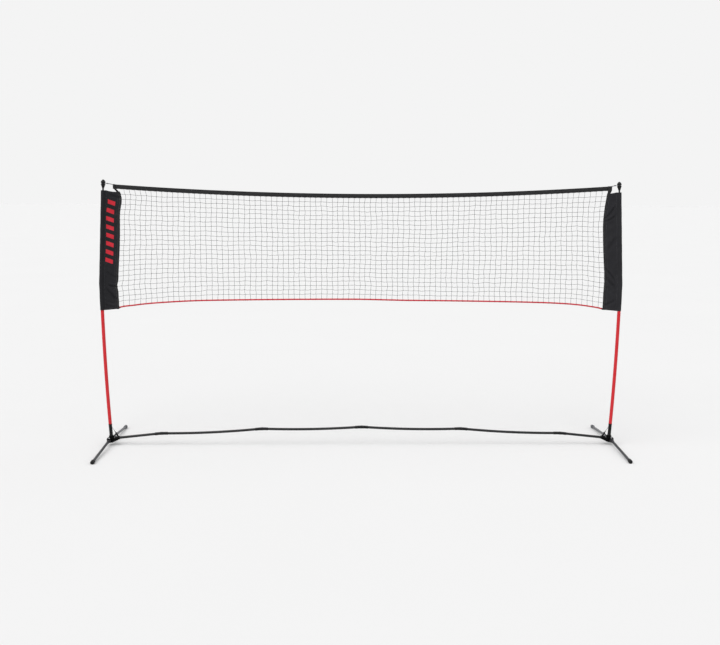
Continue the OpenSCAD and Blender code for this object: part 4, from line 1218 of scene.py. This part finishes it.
def band_shell():
    """The band folded over its cord, from its front hem over the top to the back one."""
    xs = np.linspace(-BAND_REACH[-1], BAND_REACH[1], fine(560))
    tops = np.array([band_z(x) for x in xs])
    depths = [BAND_ROLL * (1 - cos(a)) for a in np.linspace(0.3, 1.45, 4)] + [
        d * MM for d in (3.2, 4.6, 6, 7.4, 8.5, 9.6, 11.5, 14, 16.5, 18.5, 20, 21.5, 23, 25)]
    sweep = [(-1, d) for d in depths[::-1]] + [(0, 0.0)] + [(1, d) for d in depths]
    stations, run = [], 0.0
    for (face, depth), (_, after) in zip(sweep, sweep[1:] + sweep[-1:]):
        half = band_half(depth, xs)
        scallop = 0.5 * MM * np.cos(xs / CELL_W * TAU) * ramp(depth, 20e-3, 25e-3)
        if depth < BAND_ROLL:
            hole = CHANNEL_R / BAND_ROLL
            inner_half, inner_depth = half * hole, BAND_ROLL - (BAND_ROLL - depth) * hole
        else:
            inner_half, inner_depth = np.maximum(half - BAND_PLY, LINING), depth
        stations.append([points_of(xs, band_wave(xs) + face * out, tops - down + scallop)
                         for out, down in ((half, depth), (inner_half, inner_depth))]
                        + [points_of(run, xs)])
        run += max(abs(after - depth), 0.8 * MM)
    return skin(stations)


band = band_shell().fit("band", BAND_TAPE, "net_frame", "band_fabric", "top_band", sharp=50)

# ------ cords

RIGHT_TO_LEFT = np.array([-1, 1, 1])


def helix(a, b, radius, turns, steps=14):
    """A winding from a to b."""
    a, b = np.array(a, float), np.array(b, float)
    t = np.linspace(0, 1, int(turns * steps) + 1)
    return (a + (b - a) * t[:, None]
            + radius * circling(TAU * turns * t, unit(b - a), (0, 1, 0))[1])


def band_middle(x):
    """Where the top cord runs inside the band."""
    return np.array([x, float(band_wave(x)), band_z(x) - BAND_ROLL])


# The top cord's loop round the knob's groove, and where its seizing lies
LOOP_R, LOOP_OPEN = 11 * MM, radians(118)
swing = [GROOVE + LOOP_R * np.array([cos(a) * cos(ROD_LEAN), sin(a),
                                     cos(a) * sin(ROD_LEAN)])
         for a in np.linspace(-LOOP_OPEN, LOOP_OPEN, 25)]
knot_from, knot_to = (GROOVE + np.array(p) * MM for p in ((-26, 0, -0.8), (-21, 0, -0.5)))


def tied_end(side):
    """The cord from inside the band to its loop round the knob and back, on the right; its
    tail is laid round it once and a half on the way back into the band."""
    t = np.linspace(0, 1, 22)[:, None]
    axis = knot_from + (band_middle(BAND_REACH[side] - 7 * MM) - knot_from) * t
    turn = 3 * pi * t[:, 0]
    aside = 1.25 * MM * points_of(0, np.cos(turn), np.sin(turn))
    out = axis - aside * (1 - ramp(t, 0.8, 1.0))
    return [*out[::-1], knot_to - [0, 0.9 * MM, 0], *swing, knot_to + [0, 1.2 * MM, 0],
            *(axis + aside)]


top_line = Shell()
path = ([p * RIGHT_TO_LEFT for p in tied_end(-1)[::-1]]
        + [band_middle(x) for x in np.linspace(-BAND_X + 30 * MM, BAND_X - 30 * MM,
                                               fine(120))]
        + tied_end(1))
cord_shell(top_line, resampled(path, 1.6 * MM), TOP_CORD_R, 8, UP)
for mirror in (1, RIGHT_TO_LEFT):
    cord_shell(top_line, helix(knot_from * mirror, knot_to * mirror, 2.9 * MM, 3.5),
               0.75 * MM, 7)
top_line.fit("top_line", GREY_CORD, "net_frame", "top_cord", "top_cord")

bottom_line = Shell()
step = fine(1.6 * MM)
end_x = CORD_X + 1.6 * MM
span = [(x, 0.0, cord_z(x)) for x in np.linspace(-end_x, end_x, int(2 * CORD_X / step))]
cord_shell(bottom_line, resampled(span, step), CORD_R - 0.1 * MM, 20, plait=0.45 * MM,
           lay=11 * MM, lobes=8)
bottom_line.fit("bottom_line", RED_CORD, "net_frame", "bottom_cord", "bottom_cord", sharp=75)
for side, sx in SIDES:
    whipping = Shell()
    ends = [(x, 0, cord_z(sx * x)) for x in (CORD_X - 5 * MM, end_x)]
    cord_shell(whipping, helix(*ends, CORD_R + 0.25 * MM, 6), 0.62 * MM, 6)
    whipping.fit(f"cord_whipping_{side}", WHIPPING, "net_frame", "bottom_cord",
                 "bottom_cord", sx)

TETHER_DIR = unit(TETHER_EXIT - EYE_HOLE)
RING_R, ELASTIC_R = 4.2 * MM, 1.1 * MM
neck = EYE_HOLE + TETHER_DIR * (2 * RING_R + 1.0 * MM)
ring = [EYE_HOLE + TETHER_DIR * RING_R
        + RING_R * (np.array([0, sin(a), 0]) - cos(a) * TETHER_DIR)
        for a in np.linspace(-0.86 * pi, 0.86 * pi, 34)]
for side, sx in SIDES:
    line = Shell()
    cord_shell(line, [neck + [0, -0.6 * MM, 0], *ring, neck + [0, 0.6 * MM, 0]],
               ELASTIC_R, 12, TETHER_DIR[[2, 1, 0]] * [-1, 0, 1])
    cord_shell(line, helix(neck - 0.2 * MM * TETHER_DIR, neck + 5 * MM * TETHER_DIR,
                           1.9 * MM, 3), 0.95 * MM, 8)
    cord_shell(line, [neck + TETHER_DIR * s for s in np.linspace(
        0, np.linalg.norm(TETHER_EXIT - neck) + 1.2 * MM, 20)], ELASTIC_R, 14)
    tether = line.object(f"tether_line_{side}", sx)
    tether.data.materials.append(ELASTIC)
    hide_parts(f"tether_{side}")
    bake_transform(tether)

# ------ net

EDGE_MID = pole_x((BAND_END_Z - BAND_H + PANEL_BOTTOM + CORNER_EASE) / 2) - PANEL_W
COLUMNS = [(i - (NET_COLUMNS - 1) / 2) * CELL_W for i in range(NET_COLUMNS)]


def net_z(row, x):
    """Height of the net's line number row (0 at the band, NET_ROWS at the bottom cord)."""
    top, bottom = band_z(x) - BAND_H + 1.0 * MM, cord_z(x) + CORD_R + 0.3 * MM
    return top + (bottom - top) * row / NET_ROWS


def knot_at(x, row):
    """Where the thread that starts out at x crosses a row: the outer threads lean with the
    panels' inner edges, and the outermost follow where an edge is pulled in or out."""
    sx, share = copysign(1, x), abs(x) / EDGE_MID
    leaned = x
    for _ in range(2):
        z = net_z(row, leaned)
        lean = pole_x(z) - PANEL_W - EDGE_MID
        pull = PANEL_W - float(panel_width(z, sx))
        leaned = x + sx * (lean * share ** 5 + pull * share ** 9)
    return leaned, net_z(row, leaned)


def row_end(row, sx):
    """Where a row meets the edge tape."""
    x = 1.4
    for _ in range(5):
        x = panel_edge(net_z(row, x), sx) + 0.4 * MM
    return sx * x, net_z(row, sx * x)


def net_lines():
    """The net's threads, how loose each of their points is and where they are tied."""
    lines, loose, tied = [], [], []
    for x in COLUMNS:
        at = [knot_at(x, k / 2) for k in range(2 * NET_ROWS + 1)]
        lines.append([(x, 0.0, z) for x, z in at])
        loose += [min(1.0, k / 3, (2 * NET_ROWS - k) / 3) for k in range(len(at))]
        tied += [k % 2 == 0 for k in range(len(at))]
    for row in range(1, NET_ROWS):
        knots = [row_end(row, -1), *[knot_at(x, row) for x in COLUMNS], row_end(row, 1)]
        line = []
        for k in range(2 * len(knots) - 1):
            (x0, z0), (x1, z1) = knots[k // 2], knots[(k + 1) // 2]
            at_end = min(k, 2 * len(knots) - 2 - k)
            line.append(((x0 + x1) / 2, 0.0, (z0 + z1) / 2 - (0.9 * MM if k % 2 else 0)))
            loose.append(min(1.0, at_end / 2, row / 1.5, (NET_ROWS - row) / 1.5))
            tied.append(at_end == 0)
        lines.append(line)
    return lines, loose, tied


threads, loose, tied = net_lines()
net = grown("netting", NETTING, threads,
            {"loose": ("FLOAT", loose), "tied": ("BOOLEAN", tied)},
            Thread_radius=0.85 * MM, Knot_radius=1.6 * MM, Slack=14 * MM, Seed=4.7,
            Material=TWINE)
fitted(net, None, "net_frame", "net_thread", "net_mesh")

tie = lathe(straight((0, 0, 0), UP), [
    (0.55 * MM * sin(a), CORD_R + 0.35 * MM + 0.55 * MM * cos(a))
    for a in np.linspace(0, TAU, 6, endpoint=False)], 10, loop=True)
tied_at = [knot_at(x, NET_ROWS)[0] for x in COLUMNS]
ties = planted("cord_ties", tie.object("tie_template"), [(x, 0.0, cord_z(x)) for x in tied_at],
               [(1.0, 0.02 * sin(40 * x), (cord_z(x + 1e-3) - cord_z(x - 1e-3)) / 2e-3)
                for x in tied_at], TWINE, spread_by=0.04, seed=9)
fitted(ties, None, "net_frame", "net_thread", "net_mesh")

# ------ sewing


UPRIGHT, LEVEL, HEM_SEAM = np.linspace(0.01, 0.99, 160), np.linspace(0.17, 0.96, 30), 8 * MM
# Share, t and lift of the seams of tape, inner hem, sleeve, bottom hem and top hem
PANEL_SEAMS = ((9.6 * MM / PLATE_W, np.linspace(0.004, 0.996, 160), TAPE_T + LINING),
               ((INNER_HEM - 1.5 * MM) / PLATE_W, UPRIGHT, LINING),
               ((PLATE_W - 2 * MM) / PLATE_W, UPRIGHT, LINING),
               (LEVEL, HEM_SEAM / PLATE_H, LINING), (LEVEL, 1 - HEM_SEAM / PLATE_H, LINING))


def panel_seam(side, face, share, t, lift):
    """Points of a seam, lifted off the panel's skin."""
    x, y, z, _, _ = panel_point(side, share, t, face)
    return points_of(x * side, y + face * lift, z)


for side, sx in SIDES:
    seams = [panel_seam(sx, face, *seam) for face in (-1, 1) for seam in PANEL_SEAMS]
    sewn = grown(f"panel_stitches_{side}", SEWING, seams, Pitch=4.2 * MM, Stitch=3.0 * MM,
                 Thread_radius=0.32 * MM, Material=STITCHING)
    fitted(sewn, None, "net_frame", "panel_fabric", f"side_panel_{side}")

xs = np.linspace(-BAND_REACH[-1] + 12 * MM, BAND_REACH[1] - 23 * MM, 480)
sewn = grown("band_stitches", SEWING, [
    points_of(xs, band_wave(xs) + face * (band_half(depth, xs) + LINING),
              np.array([band_z(x) for x in xs]) - depth)
    for depth in BAND_SEAMS for face in (-1, 1)],
    Pitch=4.6 * MM, Stitch=3.2 * MM, Thread_radius=0.33 * MM, Material=STITCHING)
fitted(sewn, None, "net_frame", "band_fabric", "top_band")

# ------ stage, light and camera


def paper_floor():
    """Seamless pale paper that the net stands on."""
    paper = bpy.data.materials.new("backdrop_paper")
    paper.use_nodes = True
    n = Nodes(paper.node_tree)
    n.tree.nodes.remove(n.tree.nodes["Principled BSDF"])
    tint = n.of("MIX", n.of("NOISE", n.place(), 1 / 1.5, 2), "#e7e7e7", "#e9e9e9")
    matt = n.put("ShaderNodeBsdfDiffuse", Color=tint)
    n.tree.links.new(matt.outputs[0], n.tree.nodes["Material Output"].inputs["Surface"])
    shell = Shell()
    shell.add([(-60, -20, 0), (60, -20, 0), (60, 140, 0), (-60, 140, 0)], [(0, 1, 2, 3)],
              [(0, 0)] * 4)
    floor = shell.object("floor")
    floor.data.materials.append(paper)


def even_sky(light, seen):
    """White surroundings: dimmer as a light than as the background behind the net, which
    gloss reflects too."""
    world = bpy.data.worlds.new("studio")
    bpy.context.scene.world = world
    world.use_nodes = True
    n = Nodes(world.node_tree)
    path = n.put("ShaderNodeLightPath").outputs
    lit = n.tree.nodes["Background"]
    lit.inputs["Color"].default_value = (1, 1, 1, 1)
    lit.inputs["Strength"].default_value = light
    shown = n.put("ShaderNodeBackground", Color=seen, Strength=1.0)
    bright = n.of("MAXIMUM", path["Is Camera Ray"], n.of(
        "MAXIMUM", path["Is Glossy Ray"], path["Is Transmission Ray"]))
    pick = n.put("ShaderNodeMixShader", i0=bright, i1=lit.outputs[0], i2=shown.outputs[0])
    n.tree.links.new(pick.outputs[0], n.tree.nodes["World Output"].inputs["Surface"])


def soft_sun(name, towards, strength, spread_deg):
    """A sun whose light comes from spread_deg degrees of the sky."""
    lamp = bpy.data.lights.new(name, "SUN")
    lamp.energy, lamp.angle = strength, radians(spread_deg)
    placed(name, lamp).rotation_euler = Vector(towards).to_track_quat("-Z", "Y").to_euler()


paper_floor()
even_sky(0.40, "#f4f4f4")
soft_sun("key", (0.55, 0.60, -1.0), 2.05, 60)
soft_sun("fill", (-0.7, 0.35, -1.0), 0.90, 85)

STANDPOINT = (-0.115, -5.321, 1.488)
PITCH, YAW, ROLL = radians(7.954), radians(1.109), radians(0.241)
ahead = Vector((sin(YAW) * cos(PITCH), cos(YAW) * cos(PITCH),
                -sin(PITCH)))
level = Vector((cos(YAW), -sin(YAW), 0))
upward = level.cross(ahead)
right = cos(ROLL) * level + sin(ROLL) * upward
above = cos(ROLL) * upward - sin(ROLL) * level
lens = bpy.data.cameras.new("camera")
lens.lens, lens.sensor_width, lens.clip_end = 45.375, 36, 200
camera = placed("camera", lens)
camera.matrix_world = Matrix.Translation(STANDPOINT) @ Matrix(
    (right, above, -ahead)).transposed().to_4x4()
bpy.context.scene.camera = camera
bpy.context.scene.view_settings.view_transform = "Standard"
